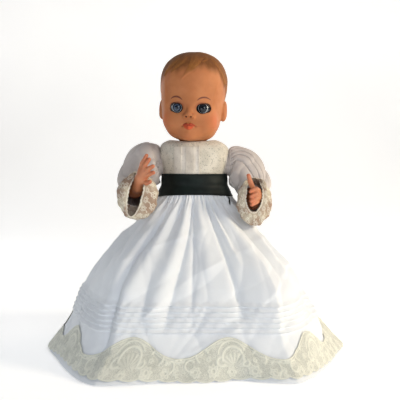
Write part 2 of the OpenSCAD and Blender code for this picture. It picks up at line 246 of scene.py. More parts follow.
class Finish:
    """A procedural material with short calls for the nodes that this doll needs."""

    def __init__(self, name, rough, **values):
        self.material = bpy.data.materials.new(name)
        self.material.use_nodes = True
        self.tree = self.material.node_tree
        self.shader = self.tree.nodes["Principled BSDF"]
        self.place = self.tree.nodes.new("ShaderNodeTexCoord").outputs["Object"]
        self.set(Roughness=rough)
        self.set(**values)

    def set(self, **values):
        """Sets the shader's inputs, named with _ for a space."""
        for key, value in values.items():
            self.shader.inputs[key.replace("_", " ")].default_value = value

    def link(self, source, target):
        self.tree.links.new(source, target)

    def noise(self, size, detail=3, stretch=(1, 1, 1)):
        """Soft noise with features of about size millimetres; a stretch above 1 makes that axis finer."""
        scale = self.tree.nodes.new("ShaderNodeMapping")
        scale.inputs["Scale"].default_value = stretch
        self.link(self.place, scale.inputs["Vector"])
        noise = self.tree.nodes.new("ShaderNodeTexNoise")
        noise.inputs["Scale"].default_value = 1 / (size * MM)
        noise.inputs["Detail"].default_value = detail
        self.link(scale.outputs["Vector"], noise.inputs["Vector"])
        return noise.outputs["Fac"]

    def weave(self, spacing):
        """Threads that cross: two sets of fine bands."""
        bands = []
        for axis in ("X", "Z"):
            wave = self.tree.nodes.new("ShaderNodeTexWave")
            wave.bands_direction = axis
            wave.inputs["Scale"].default_value = 1 / (spacing * MM) / TAU * 2
            wave.inputs["Distortion"].default_value = 1.5
            self.link(self.place, wave.inputs["Vector"])
            bands.append(wave.outputs["Fac"])
        return self.times(*bands)

    def attribute(self, name):
        node = self.tree.nodes.new("ShaderNodeAttribute")
        node.attribute_name = name
        return node.outputs["Fac"]

    def calculate(self, operation, a, b):
        node = self.tree.nodes.new("ShaderNodeMath")
        node.operation = operation
        for socket, value in zip(node.inputs, (a, b)):
            if isinstance(value, (int, float)):
                socket.default_value = value
            else:
                self.link(value, socket)
        return node.outputs[0]

    def add(self, a, b):
        return self.calculate("ADD", a, b)

    def times(self, a, b):
        return self.calculate("MULTIPLY", a, b)

    def rest(self, a):
        """What is left of 1."""
        return self.calculate("SUBTRACT", 1.0, a)

    def ramp(self, factor, low, high):
        """Maps a factor from low..high to 0..1."""
        node = self.tree.nodes.new("ShaderNodeMapRange")
        node.interpolation_type = "SMOOTHSTEP"
        node.inputs["From Min"].default_value = low
        node.inputs["From Max"].default_value = high
        self.link(factor, node.inputs["Value"])
        return node.outputs["Result"]

    def mix(self, factor, a, b):
        node = self.tree.nodes.new("ShaderNodeMix")
        node.data_type = "RGBA"
        for socket, value in ((node.inputs[0], factor), (node.inputs[6], a), (node.inputs[7], b)):
            if isinstance(value, (int, float)):
                socket.default_value = value
            elif isinstance(value, tuple):
                socket.default_value = (*value, 1)
            else:
                self.link(value, socket)
        return node.outputs[2]

    def mottled(self, size, detail, light, dark, low=0.3, high=0.7):
        """Two colours in soft patches of about size millimetres."""
        return self.mix(self.ramp(self.noise(size, detail), low, high), light, dark)

    def over(self, base, factor, amount, colour):
        """A colour laid over a base where a factor says, as strongly as amount."""
        return self.mix(self.times(factor, amount), base, colour)

    def colour(self, value):
        self.link(value, self.shader.inputs["Base Color"])

    def bump(self, height, depth, strength=1.0):
        """Relief of depth millimetres."""
        node = self.tree.nodes.new("ShaderNodeBump")
        node.inputs["Distance"].default_value = depth * MM
        node.inputs["Strength"].default_value = strength
        self.link(height, node.inputs["Height"])
        self.link(node.outputs["Normal"], self.shader.inputs["Normal"])

    def roughen(self, factor, low, high):
        node = self.tree.nodes.new("ShaderNodeMapRange")
        node.inputs["To Min"].default_value = low
        node.inputs["To Max"].default_value = high
        self.link(factor, node.inputs["Value"])
        self.link(node.outputs["Result"], self.shader.inputs["Roughness"])


# ---- Shape of the gown's skirt ----

LACE_LOW, LACE_HIGH = node_box("hem_lace")
SASH_LOW, SASH_HIGH = node_box("sash")
WAIST_Z = node_box("skirt")[1][2]
WAIST_DEPTH = -SASH_LOW[1] / SASH_HIGH[0]      # the waist is an oval, narrower from front to back
TUCKS = 6
TUCK_GAP = 7.0
TUCK_TOP = 106
TUCK_RELIEF = 3.8
TUCK_RISE = 9.0
TUCK_LOW = TUCK_TOP - TUCK_GAP * TUCKS


OUTLINE_MARGIN = 12          # a round node's outline is carried on this far past its ends,
OUTLINE_SOFT = 13            # softened over this height,
OUTLINE_TRIM = 8             # and then shortened again at both ends


def round_outline(name):
    """Height and softened outer radius of a round CAD node."""
    points = mesh_points(frame["nodes"][name].data)
    radius = np.hypot(points[:, 0], points[:, 1])
    heights = np.unique(points[:, 2].round(1))
    outer = [radius[np.abs(points[:, 2] - z) < 0.1].max() for z in heights]
    fine = np.arange(heights[0] - OUTLINE_MARGIN, heights[-1] + OUTLINE_MARGIN + 0.5, 1.0)
    slope_low = (outer[1] - outer[0]) / (heights[1] - heights[0])
    rough = np.interp(fine, heights, outer) + slope_low * np.minimum(fine - heights[0], 0)
    soft = np.convolve(rough, np.full(OUTLINE_SOFT, 1 / OUTLINE_SOFT), "same")
    return fine[OUTLINE_TRIM:-OUTLINE_TRIM], soft[OUTLINE_TRIM:-OUTLINE_TRIM]


SKIRT_OUTLINE = round_outline("skirt")

# Folds of the front, each as: degrees from the front at the waist and lower down, height of its top and
# bottom, how far it stands out (or in, if negative) and its half-width in degrees.
FRONT_FOLDS = (
    (-52, -46, 262, 130, 4.5, 6.0),
    (-42, -38, 225, 60, 5.0, 3.5),
    (-38, -33, 240, 8, -16.0, 2.2),
    (-31, -34, 250, 170, -5.0, 1.5),
    (-26, -29, 262, 90, 7.0, 4.0),
    (-18, -21, 262, 178, -4.0, 1.8),
    (-9, -17, 264, 70, 8.0, 5.0),
    (-3, -12, 262, 60, -10.0, 2.2),
    (0, -1, 256, 90, -6.0, 1.3),
    (8, 7, 262, 120, 5.0, 5.0),
    (19, 21, 262, 70, -11.0, 1.8),
    (23, 26, 262, 150, 4.5, 1.7),
    (27, 28, 262, 175, -5.0, 1.3),
    (37, 30, 262, 60, 7.0, 5.0),
    (48, 43, 258, 120, -7.0, 2.6),
    (57, 50, 262, 130, 7.0, 3.2),
    (58, 66, 240, 20, 10.0, 3.6),
    (67, 76, 245, 20, -12.0, 3.6),
    (96, 84, 236, 30, -12.0, 7.0),
    (-72, -62, 225, 130, -6.0, 8.0),
    (-88, -80, 215, 60, 8.0, 14.0),
)
# The hem's outline on the floor: degrees from the front, how far it stands out there, and its half-width.
HEM_LOBES = ((-27, 23, 13), (-60, -2, 12), (16, -14, 7), (29, 8, 10), (50, -8, 12), (92, 13, 16),
             (-92, 8, 20), (130, -6, 14), (155, 9, 14), (-135, 8, 14), (-160, -7, 12), (180, 8, 12))


def turn_from(turn, other):
    """Degrees from one direction to another, from -180 to 180."""
    return (turn - other + 180) % 360 - 180


def valley(x):
    """A narrow crease with rounded cloth on both sides, 1 deep at x = 0."""
    return np.exp(-np.abs(x) / 0.28)


def sharp(x, width):
    """A crease: a peak with a narrow tip and spread-out sides."""
    return np.exp(-np.sqrt(x * x + 0.16) / width)


def fold_height(turn, z):
    """How far the big folds stand out, in millimetres."""
    total = np.zeros(np.broadcast(turn, z).shape)
    for top_turn, low_turn, top, bottom, height, width in FRONT_FOLDS:
        track = lerp(low_turn, top_turn, smooth_step(z, bottom, WAIST_Z))
        across = turn_from(turn, track)
        along = smooth_step(z, bottom - 10, bottom + 45) * (1 - smooth_step(z, top - 26, top))
        shape = bell(across, width) if height > 0 else sharp(across, width)
        total += height * along * shape
    return total


def back_folds(turn, z):
    """Folds at the sides and back, where nothing was planned one by one."""
    behind = smooth_step(np.abs(turn), 88, 120)
    angle = np.radians(turn) + 0.05 * np.sin(z / 37) + 0.04 * np.sin(z / 19 + 2 * np.radians(turn))
    waves = ripples(angle, (13, 17, 22), 5) * 7.5 + ripples(angle, (9, 11), 8) * 5
    return behind * waves * smooth_step(z, -40, 120) * (1 - smooth_step(z, 190, 262))


def gathers(turn, z):
    """Small folds drawn in by the waist seam."""
    angle = np.radians(turn)
    fine = ripples(angle, (58, 71, 83), 3) * 2.8 * smooth_step(z, 226, 252)
    middle = ripples(angle + 0.02 * np.sin(z / 9), (27, 34, 41), 4) * 2.6
    middle *= smooth_step(z, 190, 240) * (1 - smooth_step(z, 244, 262))
    return fine + middle


def creases(along, z):
    """Slight straight creases and hollows of ironed cotton."""
    random = np.random.default_rng(11)
    total = 0
    for _ in range(9):
        heading = random.uniform(-1.2, 1.2)
        span = random.uniform(55, 120)
        phase = (along * math.cos(heading) + z * math.sin(heading)) / span * math.pi + random.uniform(0, TAU)
        bend = 0.6 * np.sin(z / 31 + random.uniform(0, TAU))
        total = total + (1 - np.abs(np.sin(phase + bend))) ** 4 * random.uniform(-1, 1)
    return total


def tuck_relief(along, z):
    """Six sewn tucks, each standing off the cloth at its lower edge, with puckers between the seams."""
    step = (TUCK_TOP - z) / TUCK_GAP
    inside = (step > 0) & (step <= TUCKS)
    share = np.where(inside, step % 1, 0)
    pucker = np.sin(along / 3.1 + 2.2 * np.sin(along / 17) + np.floor(step) * 1.7) * bell(share - 0.55, 0.35)
    pull = (0.4 + 0.6 * np.sin(along / 23 + np.floor(step)) ** 2) * 1.15
    return np.where(inside, TUCK_RELIEF * share ** 1.5 + pucker * pull, 0)


def skirt_radius(turn, z):
    """Distance of the skirt's cloth from the doll's axis, in millimetres."""
    radius = np.interp(z, *SKIRT_OUTLINE)
    right_corner = np.interp(z, (10, 70, 210), (31, 32, 39))
    left_corner = np.interp(z, (10, 210), (28, 33))
    corner = np.where(turn < 0, left_corner, right_corner)
    flat = 1 / np.cos(np.radians(np.minimum(np.abs(turn), corner)))
    squared = lerp(flat, 1, smooth_step(np.abs(turn), corner, corner + 44))
    radius = radius * lerp(squared, 1, smooth_step(z, 120, 240))
    angle = np.radians(turn)
    oval = 1 / np.sqrt(np.sin(angle) ** 2 + (np.cos(angle) / WAIST_DEPTH) ** 2)
    radius = radius * lerp(1, oval, smooth_step(z, 190, WAIST_Z))
    near_floor = (1 - smooth_step(z, -8, 58)) ** 1.5
    for lobe, height, width in HEM_LOBES:
        radius = radius + height * bell(turn_from(turn, lobe), width) * near_floor
    along = angle * radius
    radius = radius + fold_height(turn, z) + back_folds(turn, z) + gathers(turn, z)
    radius = radius + creases(along, z) * 2.6 * smooth_step(z, 0, 40) * (1 - smooth_step(z, 190, 225))
    return radius


def around(turn, radius, z):
    """Points at an angle from the front, in degrees, growing towards the doll's left."""
    angle = np.radians(turn)
    return places(radius * np.sin(angle), -radius * np.cos(angle), z)


def turns(columns):
    return np.arange(columns) * 360 / columns - 180


def skirt_rows():
    """Heights of the rows of the skirt's mesh, close together where the tucks are sewn."""
    hem = np.linspace(1.5, TUCK_LOW - 0.4, 22)
    shares = (0.02, 0.35, 0.62, 0.85, 0.99)
    band = [TUCK_TOP - TUCK_GAP * (i + share) for i in range(TUCKS) for share in shares]
    upper = np.linspace(TUCK_TOP + 0.2, WAIST_Z + 2, 78)
    return np.sort(np.concatenate([hem, band, upper]))


def white_cloth(name, tint, grey):
    """Fine white cotton with a visible weave."""
    f = Finish(name, 0.85, Sheen_Weight=0.12, Sheen_Roughness=0.5)
    colour = f.mottled(55, 3, tint, grey, 0.35)
    weave = f.weave(0.55)
    f.colour(f.over(colour, weave, 0.1, (0.5, 0.5, 0.5)))
    slub = f.noise(0.8, 2, (1, 1, 6))
    f.bump(f.add(weave, slub), 0.09, 0.5)
    return f.material


def tuck_rise(turn, z):
    """The sewn tucks lie higher on the side gores than on the front."""
    return TUCK_RISE * smooth_step(np.abs(turn), 34, 92) * bell(z - TUCK_TOP + 20, 46)


def make_skirt(material):
    turn = turns(700)
    level = skirt_rows()[:, None] + 0 * turn
    z = level + tuck_rise(turn, level)
    radius = skirt_radius(turn, z)
    radius = radius + tuck_relief(np.radians(turn) * radius, level)
    skirt = grid_piece("gown_skirt", around(turn, radius, z), material)
    finish_piece(skirt, "torso", "white_cotton", "skirt")


# ---- Lace ----

WAVE = 146.0                 # length of one wave of the hem lace's pattern
SCALLOPS = 6                 # scallops at the lower edge in each wave
LACE_SHIFT = 97.0            # moves the lace's pattern round the hem
LACE_DIP = 26.0              # depth of the lace where its upper edge dips
LACE_TOP_GAP = 3.0           # its arches end this far below the CAD piece's top
LACE_STAND_OFF = 1.6


def stroke(distance, half_width):
    """Height of a rounded cord at a distance from its middle line."""
    return np.sqrt(np.clip(1 - (distance / half_width) ** 2, 0, 1))


def arc_line(u, v, middle_u, middle_v, radius, start, end, half_width):
    """A cord along part of a circle, from start to end in degrees anticlockwise."""
    du, dv = u - middle_u, v - middle_v
    bearing = (np.degrees(np.arctan2(dv, du)) - start) % 360
    return np.where(bearing < end - start, stroke(np.hypot(du, dv) - radius, half_width), 0)


def rosette(u, v, middle_u, middle_v, radius, petals):
    """A flower of petals round a hole, each petal with a raised rim."""
    du, dv = u - middle_u, v - middle_v
    reach = np.hypot(du, dv)
    lobe = radius * (0.86 + 0.14 * np.cos(petals * np.arctan2(dv, du)))
    rim = stroke(reach - lobe * 0.86, radius * 0.16)
    heart = stroke(reach - radius * 0.36, radius * 0.15)
    body = 0.45 * (reach < lobe) * (reach > radius * 0.22)
    return np.maximum(np.maximum(rim, heart), body)


def fan(u, v, middle_u, middle_v, radius, ribs):
    """Ribs that spread upwards from a point."""
    du, dv = u - middle_u, v - middle_v
    reach = np.hypot(du, dv)
    bearing = np.arctan2(dv, du)
    rays = np.abs(np.sin(bearing * ribs)) ** 3
    upwards = (bearing > 0.1) & (bearing < 3.04)
    inside = smooth_step(radius - reach, 0, 1.5) * smooth_step(reach, 3, 6) * upwards
    return inside * rays * 0.8


def lace_wave_top(u):
    """Height of the lace's upper edge above its lowest, from 0 to 1: broad arches with narrow dips."""
    return (0.5 + 0.5 * np.cos(TAU * u / WAVE)) ** 1.15


def hem_motifs(u, v):
    """Relief of the hem lace's pattern, from 0 for plain net to 1: u along it, v above its lower edge."""
    u = (u + WAVE / 2) % WAVE - WAVE / 2
    parts = [
        arc_line(u, v, 4, 27, 15, -30, 200, 1.9),
        arc_line(u, v, 3, 29, 20.5, 20, 170, 1.4),
        arc_line(u, v, -13, 22, 6, 90, 330, 1.8),
        arc_line(u, v, 21, 21, 5, -150, 60, 1.8),
        arc_line(u, v, -40, 30, 9, 20, 250, 1.6),
        arc_line(u, v, 42, 28, 9, -70, 160, 1.6),
        arc_line(u, v, -57, 17, 7, 40, 300, 1.5),
        arc_line(u, v, 60, 16, 7, -120, 140, 1.5),
        fan(u, v, 6, 14, 20, 9),
        rosette(u, v, -25, 10, 9.5, 8),
        rosette(u, v, 31, 10, 9, 7),
        rosette(u, v, 0, 8, 7, 6),
        rosette(u, v, -50, 9, 8, 7),
        rosette(u, v, 56, 8, 7.5, 6),
        rosette(u, v, -68, 24, 4.5, 5),
        rosette(u, v, 68, 25, 4.5, 5),
        rosette(u, v, -31, 25, 4, 5),
        rosette(u, v, 34, 24, 4, 5),
        rosette(u, v, 72, 9, 7.5, 7),
    ]
    return np.maximum.reduce(parts)


def lace_cloth(name, tint, deep, net_alpha=0.82):
    """Cream lace: thicker cords over a fine net that lets some of what is behind show."""
    f = Finish(name, 0.8)
    cord = f.attribute("cord")
    net = f.tree.nodes.new("ShaderNodeTexVoronoi")
    net.feature = "DISTANCE_TO_EDGE"
    net.inputs["Scale"].default_value = 1 / (1.5 * MM)
    f.link(f.place, net.inputs["Vector"])
    hole = f.ramp(net.outputs["Distance"], 0.10, 0.24)
    plain = f.rest(f.ramp(cord, 0.05, 0.35))
    shade = f.times(hole, plain)
    base = f.mottled(22, 3, tint, deep, 0.35, 0.65)
    base = f.over(base, shade, 0.35, tuple(c * 0.62 for c in deep))
    f.colour(f.over(base, f.ramp(cord, 0.4, 1.0), 0.55, (0.86, 0.85, 0.74)))
    alpha = f.rest(f.times(shade, 1 - net_alpha))
    f.link(alpha, f.shader.inputs["Alpha"])
    f.bump(f.add(f.times(f.noise(0.7, 2), 0.5), f.times(hole, -0.6)), 0.35, 0.6)
    return f.material


def make_hem_lace(material):
    turn = turns(1500)
    mid_z = (LACE_LOW[2] + LACE_HIGH[2]) / 2
    ring = around(turn, skirt_radius(turn, mid_z), mid_z)
    pieces = np.hypot(*np.diff(np.vstack([ring, ring[:1]]), axis=0)[:, :2].T)
    length_round = np.concatenate([[0], np.cumsum(pieces)])
    waves = round(length_round[-1] / WAVE)
    u = length_round[:-1] / length_round[-1] * waves * WAVE + LACE_SHIFT
    arch = LACE_HIGH[2] - LACE_LOW[2] - (LACE_DIP + LACE_TOP_GAP)
    top = LACE_LOW[2] + LACE_DIP + arch * lace_wave_top(u)
    scallop = np.abs(np.sin(math.pi * u / (WAVE / SCALLOPS))) ** 0.7
    drape = 3.5 * ripples(np.radians(turn), (3, 5, 8), 21)
    bottom = LACE_LOW[2] - 1.5 - 3 * scallop + 2.2 + np.clip(drape, -2, 3)
    bottom = bottom + 7 * bell(turn + 48, 26) + 3 * bell(turn - 40, 20)
    share = row_shares(44)
    z = lerp(bottom, top, share)
    v = z - LACE_LOW[2]
    top_cords = np.maximum(stroke((top - z) - 1.2, 1.2), 0.8 * stroke((top - z) - 5.0, 0.9))
    bottom_cord = 0.9 * stroke((z - bottom) - 1.0, 1.1)
    relief = np.maximum.reduce([hem_motifs(u + 0 * z, v), top_cords, bottom_cord])
    radius = skirt_radius(turn, z)
    radius = radius + LACE_STAND_OFF + 0.9 * relief + 1.2 * (1 - share) ** 2
    lace = grid_piece("hem_lace_band", around(turn, radius, z), material)
    paint(lace, "cord", relief)
    finish_piece(lace, "torso", "lace", "hem_lace")


# ---- Petticoat ----

PETTICOAT_GAP = 3.5          # between the petticoat and the skirt over it


def make_petticoat(material):
    waist_z = node_box("petticoat")[1][2]
    outline = round_outline("petticoat")
    turn = turns(360)
    rows = np.concatenate([np.linspace(0.6, 40, 22), np.linspace(43, waist_z, 60)])
    z = rows[:, None] + 0 * turn
    inside = skirt_radius(turn, np.maximum(z, 8)) - PETTICOAT_GAP
    waves = 2.2 * ripples(np.radians(turn), (19, 26), 31) * (1 - smooth_step(z, 150, 220))
    own = np.interp(z, *outline) + waves
    near_floor = 1 - smooth_step(z, 6, 60)
    frill = 1.6 * np.sin(np.radians(turn) * 61) * (1 - smooth_step(z, 0, 14))
    flare = 5.5 * (1 - smooth_step(z, 0, 9)) + frill
    radius = np.minimum(inside, lerp(own, inside, near_floor)) + flare
    petticoat = grid_piece("white_petticoat", around(turn, radius, z), material)
    finish_piece(petticoat, "torso", "petticoat_cotton", "petticoat")


# ---- Head: its own frame, and the shape of the face, in that frame ----

EYE_X, EYE_Y, EYE_Z = 21.5, -39.5, 63.0        # the middle of the doll's left eye
EYE_R = 12.0
SOCKET_R = 12.95
OPEN_X, OPEN_Z = 20.9, 62.2       # the middle of the opening that it looks through
OPEN_HALF_W = 9.3
OPEN_HALF_H = 7.8
HEAD_WALL = 3.5
MOUTH_Z = 33.2
NECK_R = 20.0
NECK_PIN_R = 14.0
CROWN_SWAY = 2.6
JAW_SWAY = 0.4
SIDE_SWAY = 3.2


def head_frame():
    """Where the head stands in the model, from the eyes' pivot: it is turned and leans a little."""
    rock = next(j for j in frame["joints"] if j["name"] == "eye_rock")
    bar = Vector(rock["axis"])
    turn = Matrix.Rotation(math.atan2(bar.y, bar.x), 4, "Z")
    lean = Matrix.Rotation(math.asin(-bar.z), 4, "Y")
    spin = turn @ lean
    return Matrix.Translation(Vector(rock["pos_m"]) / MM - spin @ Vector((0, EYE_Y, EYE_Z))) @ spin


HEAD = np.array(head_frame())
HEAD_BACK = np.linalg.inv(HEAD)
NECK_MIDDLE = HEAD[:3, 3]


def into_head(p):
    return p @ HEAD_BACK[:3, :3].T + HEAD_BACK[:3, 3]


def out_of_head(p):
    return p @ HEAD[:3, :3].T + HEAD[:3, 3]


def mirror_x(p):
    return places(np.abs(p[..., 0]), p[..., 1], p[..., 2])


def eye_opening(q):
    """Distance outside the oval that the eye looks through, seen from the front."""
    return egg(np.stack([q[..., 0], q[..., 2]], -1), (OPEN_X, OPEN_Z), (OPEN_HALF_W, OPEN_HALF_H))


def lips_line(q):
    """Outlines of the upper and the lower lip from the front; negative inside."""
    x, z = q[..., 0], q[..., 2] - MOUTH_Z
    bow = 6.0 * np.clip(1 - (x / 11.2) ** 2, 0, 1) ** 0.62 - 2.4 * bell(x, 2.5)
    low = 0.5 * bell(x, 3.5)
    upper = np.maximum(z - bow + 0.25, -z - low)
    bowl = 6.1 * np.clip(1 - (x / 8.4) ** 2, 0, 1) ** 0.75
    lower = np.maximum(z + low - 0.1, -z - bowl)
    return upper, lower


def skull_and_face(q):
    """The big forms: crown, face, cheeks and chin."""
    crown = egg(q, (0, 6, 106), (55.3, 61, 53.0), 2.25)
    face = egg(q, (0, -6, 58), (50.0, 50, 50))
    d = blend_union(crown, face, 20)
    d = blend_union(d, ball(q, (22.5, -30, 38.5), 21), 12)
    d = blend_union(d, egg(q, (0, -42, 20), (16, 12, 10.5)), 10)
    d = blend_union(d, egg(q, (0, -14, 25.5), (37, 34, 15)), 8)
    return blend_union(d, egg(q, (0, -41, 34), (17, 13, 13)), 9)


def nose(q):
    ridge = rod(q, (0, -49.5, 66), (0, -58.6, 52.4), 4.2, 5.4)
    wing = egg(q, (6.2, -55.4, 49.4), (3.9, 5.2, 3.9))
    return blend_union(ridge, wing, 2.4)


def ear(q):
    outer = egg(q, (53.8, 8, 63.5), (5.0, 12.5, 15.8))
    bowl = egg(q, (58.4, 7.5, 65), (4.4, 8, 11))
    d = blend_cut(outer, bowl, 2.5)
    fold = rod(q, (55.8, 10, 72), (55.6, 11, 57.5), 1.6, 1.8)
    d = blend_union(d, fold, 2.2)
    lobe = egg(q, (51.8, 4, 51), (3.8, 6, 6))
    return blend_union(d, lobe, 4)


def lips(q):
    corner = (8.6, -53.4, MOUTH_Z)
    peak = rod(q, (2.3, -56.6, MOUTH_Z + 2.7), corner, 2.5, 0.9)
    middle = ball(q, (0, -56.9, MOUTH_Z + 1.6), 2.1)
    upper = blend_union(peak, middle, 1.6)
    lower = rod(q, (0, -55.7, MOUTH_Z - 3.1), (5.2, -54.0, MOUTH_Z - 2.0), 3.1, 1.7)
    return upper, lower


def sway(q):
    """Undoes the moulding's slight unevenness: the crown and jaw lie a little to the doll's right."""
    crown = CROWN_SWAY * smooth_step(q[..., 2], 74, 112)
    jaw = JAW_SWAY * smooth_step(np.abs(q[..., 0]), 14, 30) * (1 - smooth_step(q[..., 2], 44, 58))
    sides = SIDE_SWAY * smooth_step(np.abs(q[..., 0]), 35, 46) * smooth_step(q[..., 2], 22, 52)
    return places(q[..., 0] + np.maximum(np.maximum(crown, jaw), sides), q[..., 1], q[..., 2])


def face_field(q_both):
    """The outer surface of the head without its neck."""
    q = mirror_x(sway(q_both))
    d = skull_and_face(q)
    d = blend_cut(d, egg(q, (EYE_X - 1.5, -62.3, EYE_Z + 0.5), (12.5, 11.2, 11.5)), 6)
    d = blend_union(d, nose(q), 3.4)
    d = blend_cut(d, rod(q, (0, -59.6, 43.6), (0, -59.4, 39.6), 1.1, 1.5), 2.4)
    upper, lower = lips(q)
    d = blend_union(d, upper, 1.5)
    d = blend_union(d, lower, 2.0)
    part = rod(q, (0, -59.2, MOUTH_Z - 0.3), (8.6, -54.6, MOUTH_Z - 0.1), 0.95, 0.5)
    d = blend_cut(d, part, 0.8)
    d = blend_cut(d, ball(q, (10.6, -53.4, MOUTH_Z), 1.3), 2.2)
    d = blend_cut(d, rod(q, (0, -57.4, 24.4), (5.2, -55.8, 24.8), 1.0, 0.8), 3.2)
    d = blend_union(d, ear(q), 3.5)
    return d


# Locks of the moulded hair on the forehead, each a curve through four points (x, z) with its width.
LOCKS = (
    ((4, 158), (4, 140), (0, 127), (-15, 110), 7.0),
    ((14, 152), (12, 138), (3, 126), (-9, 116), 5.0),
    ((-8, 155), (-14, 141), (-24, 131), (-34, 121), 6.0),
    ((-20, 150), (-30, 140), (-40, 130), (-47, 116), 6.5),
    ((13, 151), (22, 149), (26, 143), (17, 140), 3.6),
    ((22, 152), (33, 147), (42, 139), (43, 128), 4.6),
    ((34, 146), (45, 137), (52, 124), (52, 108), 6.5),
    ((-2, 160), (14, 158), (30, 154), (40, 144), 5.0),
)


def curve_through(points, share):
    """A point of a cubic curve guided by four points."""
    a, b, c, d = (np.array(p, float) for p in points)
    t = np.asarray(share)[..., None]
    return a * (1 - t) ** 3 + 3 * b * t * (1 - t) ** 2 + 3 * c * t * t * (1 - t) + d * t ** 3


def lock_relief(q):
    """Height of the moulded curls over the front of the head, with fine combed lines along each."""
    total = np.zeros(q.shape[:-1])
    flat = np.stack([q[..., 0], q[..., 2]], -1)
    front = smooth_step(-q[..., 1], -12, 6)
    for *points, width in LOCKS:
        best = np.full(total.shape, 1e9)
        where = np.zeros(total.shape)
        for share in np.linspace(0, 1, 25):
            gap = length(flat - curve_through(points, share))
            closer = gap < best
            best = np.where(closer, gap, best)
            where = np.where(closer, share, where)
        wide = width * (1 - 0.75 * where ** 2)
        comb = 0.82 + 0.18 * np.cos(best / wide * 9)
        ridge = np.clip(1 - (best / wide) ** 2, 0, 1) * comb
        total = np.maximum(total, ridge * smooth_step(where, 0.0, 0.25))
    return total * front


def hairline(q):
    """Distance inside the painted hair: positive on the hair, negative on bare skin."""
    x, y, z = q[..., 0], q[..., 1], q[..., 2]
    side = np.degrees(np.arctan2(x, -y))
    start = np.interp(side, (-180, -120, -80, -55, -30, -10, 12, 30, 50, 75, 120, 180),
                      (62, 66, 92, 118, 124, 126, 130, 128, 125, 103, 68, 62))
    return z - start + 2.0 * np.sin(side / 5) + 1.2 * np.sin(side / 2.3)


def hair_relief(q):
    """Combed strands over the back and sides of the moulded hair."""
    x, y, z = q[..., 0], q[..., 1], q[..., 2]
    side = np.arctan2(x, y)
    swirl = side * 13 + 0.05 * (z - 60) + 1.6 * np.sin(z / 13 + side * 3)
    strands = 0.5 + 0.5 * np.sin(swirl) + 0.25 * np.sin(swirl * 2.7 + z / 7)
    return strands * smooth_step(hairline(q), 2, 14) * smooth_step(y, -25, 5) * (1 - smooth_step(z, 148, 160))


def head_field(p):
    """The hollow head with its eye openings, nostrils and neck; points are in the model's frame."""
    q = into_head(p)
    m = mirror_x(q)
    outer = face_field(q) - 0.8 * smooth_step(hairline(q), -1, 5) * (q[..., 2] > 70)
    outer = outer - 0.9 * lock_relief(q) * (q[..., 2] > 100) - 0.55 * hair_relief(q)
    neck_gap = p - NECK_MIDDLE
    side = np.hypot(neck_gap[..., 0], neck_gap[..., 1])
    neck = np.maximum(side - NECK_R, -(neck_gap[..., 2] + 3.2))
    neck = np.maximum(neck, neck_gap[..., 2] - 22)
    outer = blend_union(outer, neck, 7)
    outer = np.maximum(outer, -(neck_gap[..., 2] + 3.2))
    inner = skull_and_face(mirror_x(sway(q))) + HEAD_WALL + 0.8
    d = np.maximum(outer, -inner)
    socket = ball(m, (EYE_X, EYE_Y, EYE_Z), SOCKET_R)
    window = np.maximum(eye_opening(m), m[..., 1] - EYE_Y)
    d = blend_cut(d, np.minimum(socket, window), 0.7)
    nostril = rod(m, (3.7, -61.5, 46.6), (3.1, -54, 50.5), 1.6, 1.0)
    d = blend_cut(d, nostril, 0.8)
    pin = np.maximum(side - NECK_PIN_R + 3, neck_gap[..., 2] - 20)
    return np.maximum(d, -pin)


def make_head(material):
    step = 1.0
    low = NECK_MIDDLE + np.array([-68, -72, -6])
    high = NECK_MIDDLE + np.array([72, 76, 168])
    head = field_piece("head_shell_moulded", head_field, low, high, step, material)
    points = mesh_points(head.data)
    q = into_head(points)
    m = mirror_x(q)
    front = q[:, 1] < -30
    upper, lower = lips_line(m)
    paint(head, "upper_lip", np.where(front, upper, 9))
    paint(head, "lower_lip", np.where(front, lower, 9))
    paint(head, "eye_edge", np.where(front, eye_opening(m), 30))
    paint(head, "above_eye", (m[:, 2] - EYE_Z) / OPEN_HALF_H)
    paint(head, "blush", np.maximum(close_to(m, (37, -36, 44), 13), 0.3 * close_to(m, (0, -54, 14), 9)))
    paint(head, "hair", hairline(q) + 13 * lock_relief(q))
    paint(head, "strand", np.maximum(lock_relief(q), hair_relief(q)))
    # painted shade inside the ear's hollow
    paint(head, "ear_hollow_shade", close_to(m, (60, 7, 65), 9))
    # distance from the nostrils, for the painted shade in them
    paint(head, "nostril", np.where(front, np.hypot(m[:, 0] - 4.0, m[:, 2] - 48.0), 9))
    finish_piece(head, "head", "skin", "head_shell")


VINYL_GLOW = {"Subsurface_Weight": 0.18, "Subsurface_Radius": (1.0, 0.42, 0.2), "Subsurface_Scale": 0.004}


def vinyl_relief(f, pore):
    """The fine unevenness of moulded vinyl."""
    f.bump(f.add(f.noise(1.1, 3), f.times(f.noise(pore, 2), 0.5)), 0.10, 0.35)


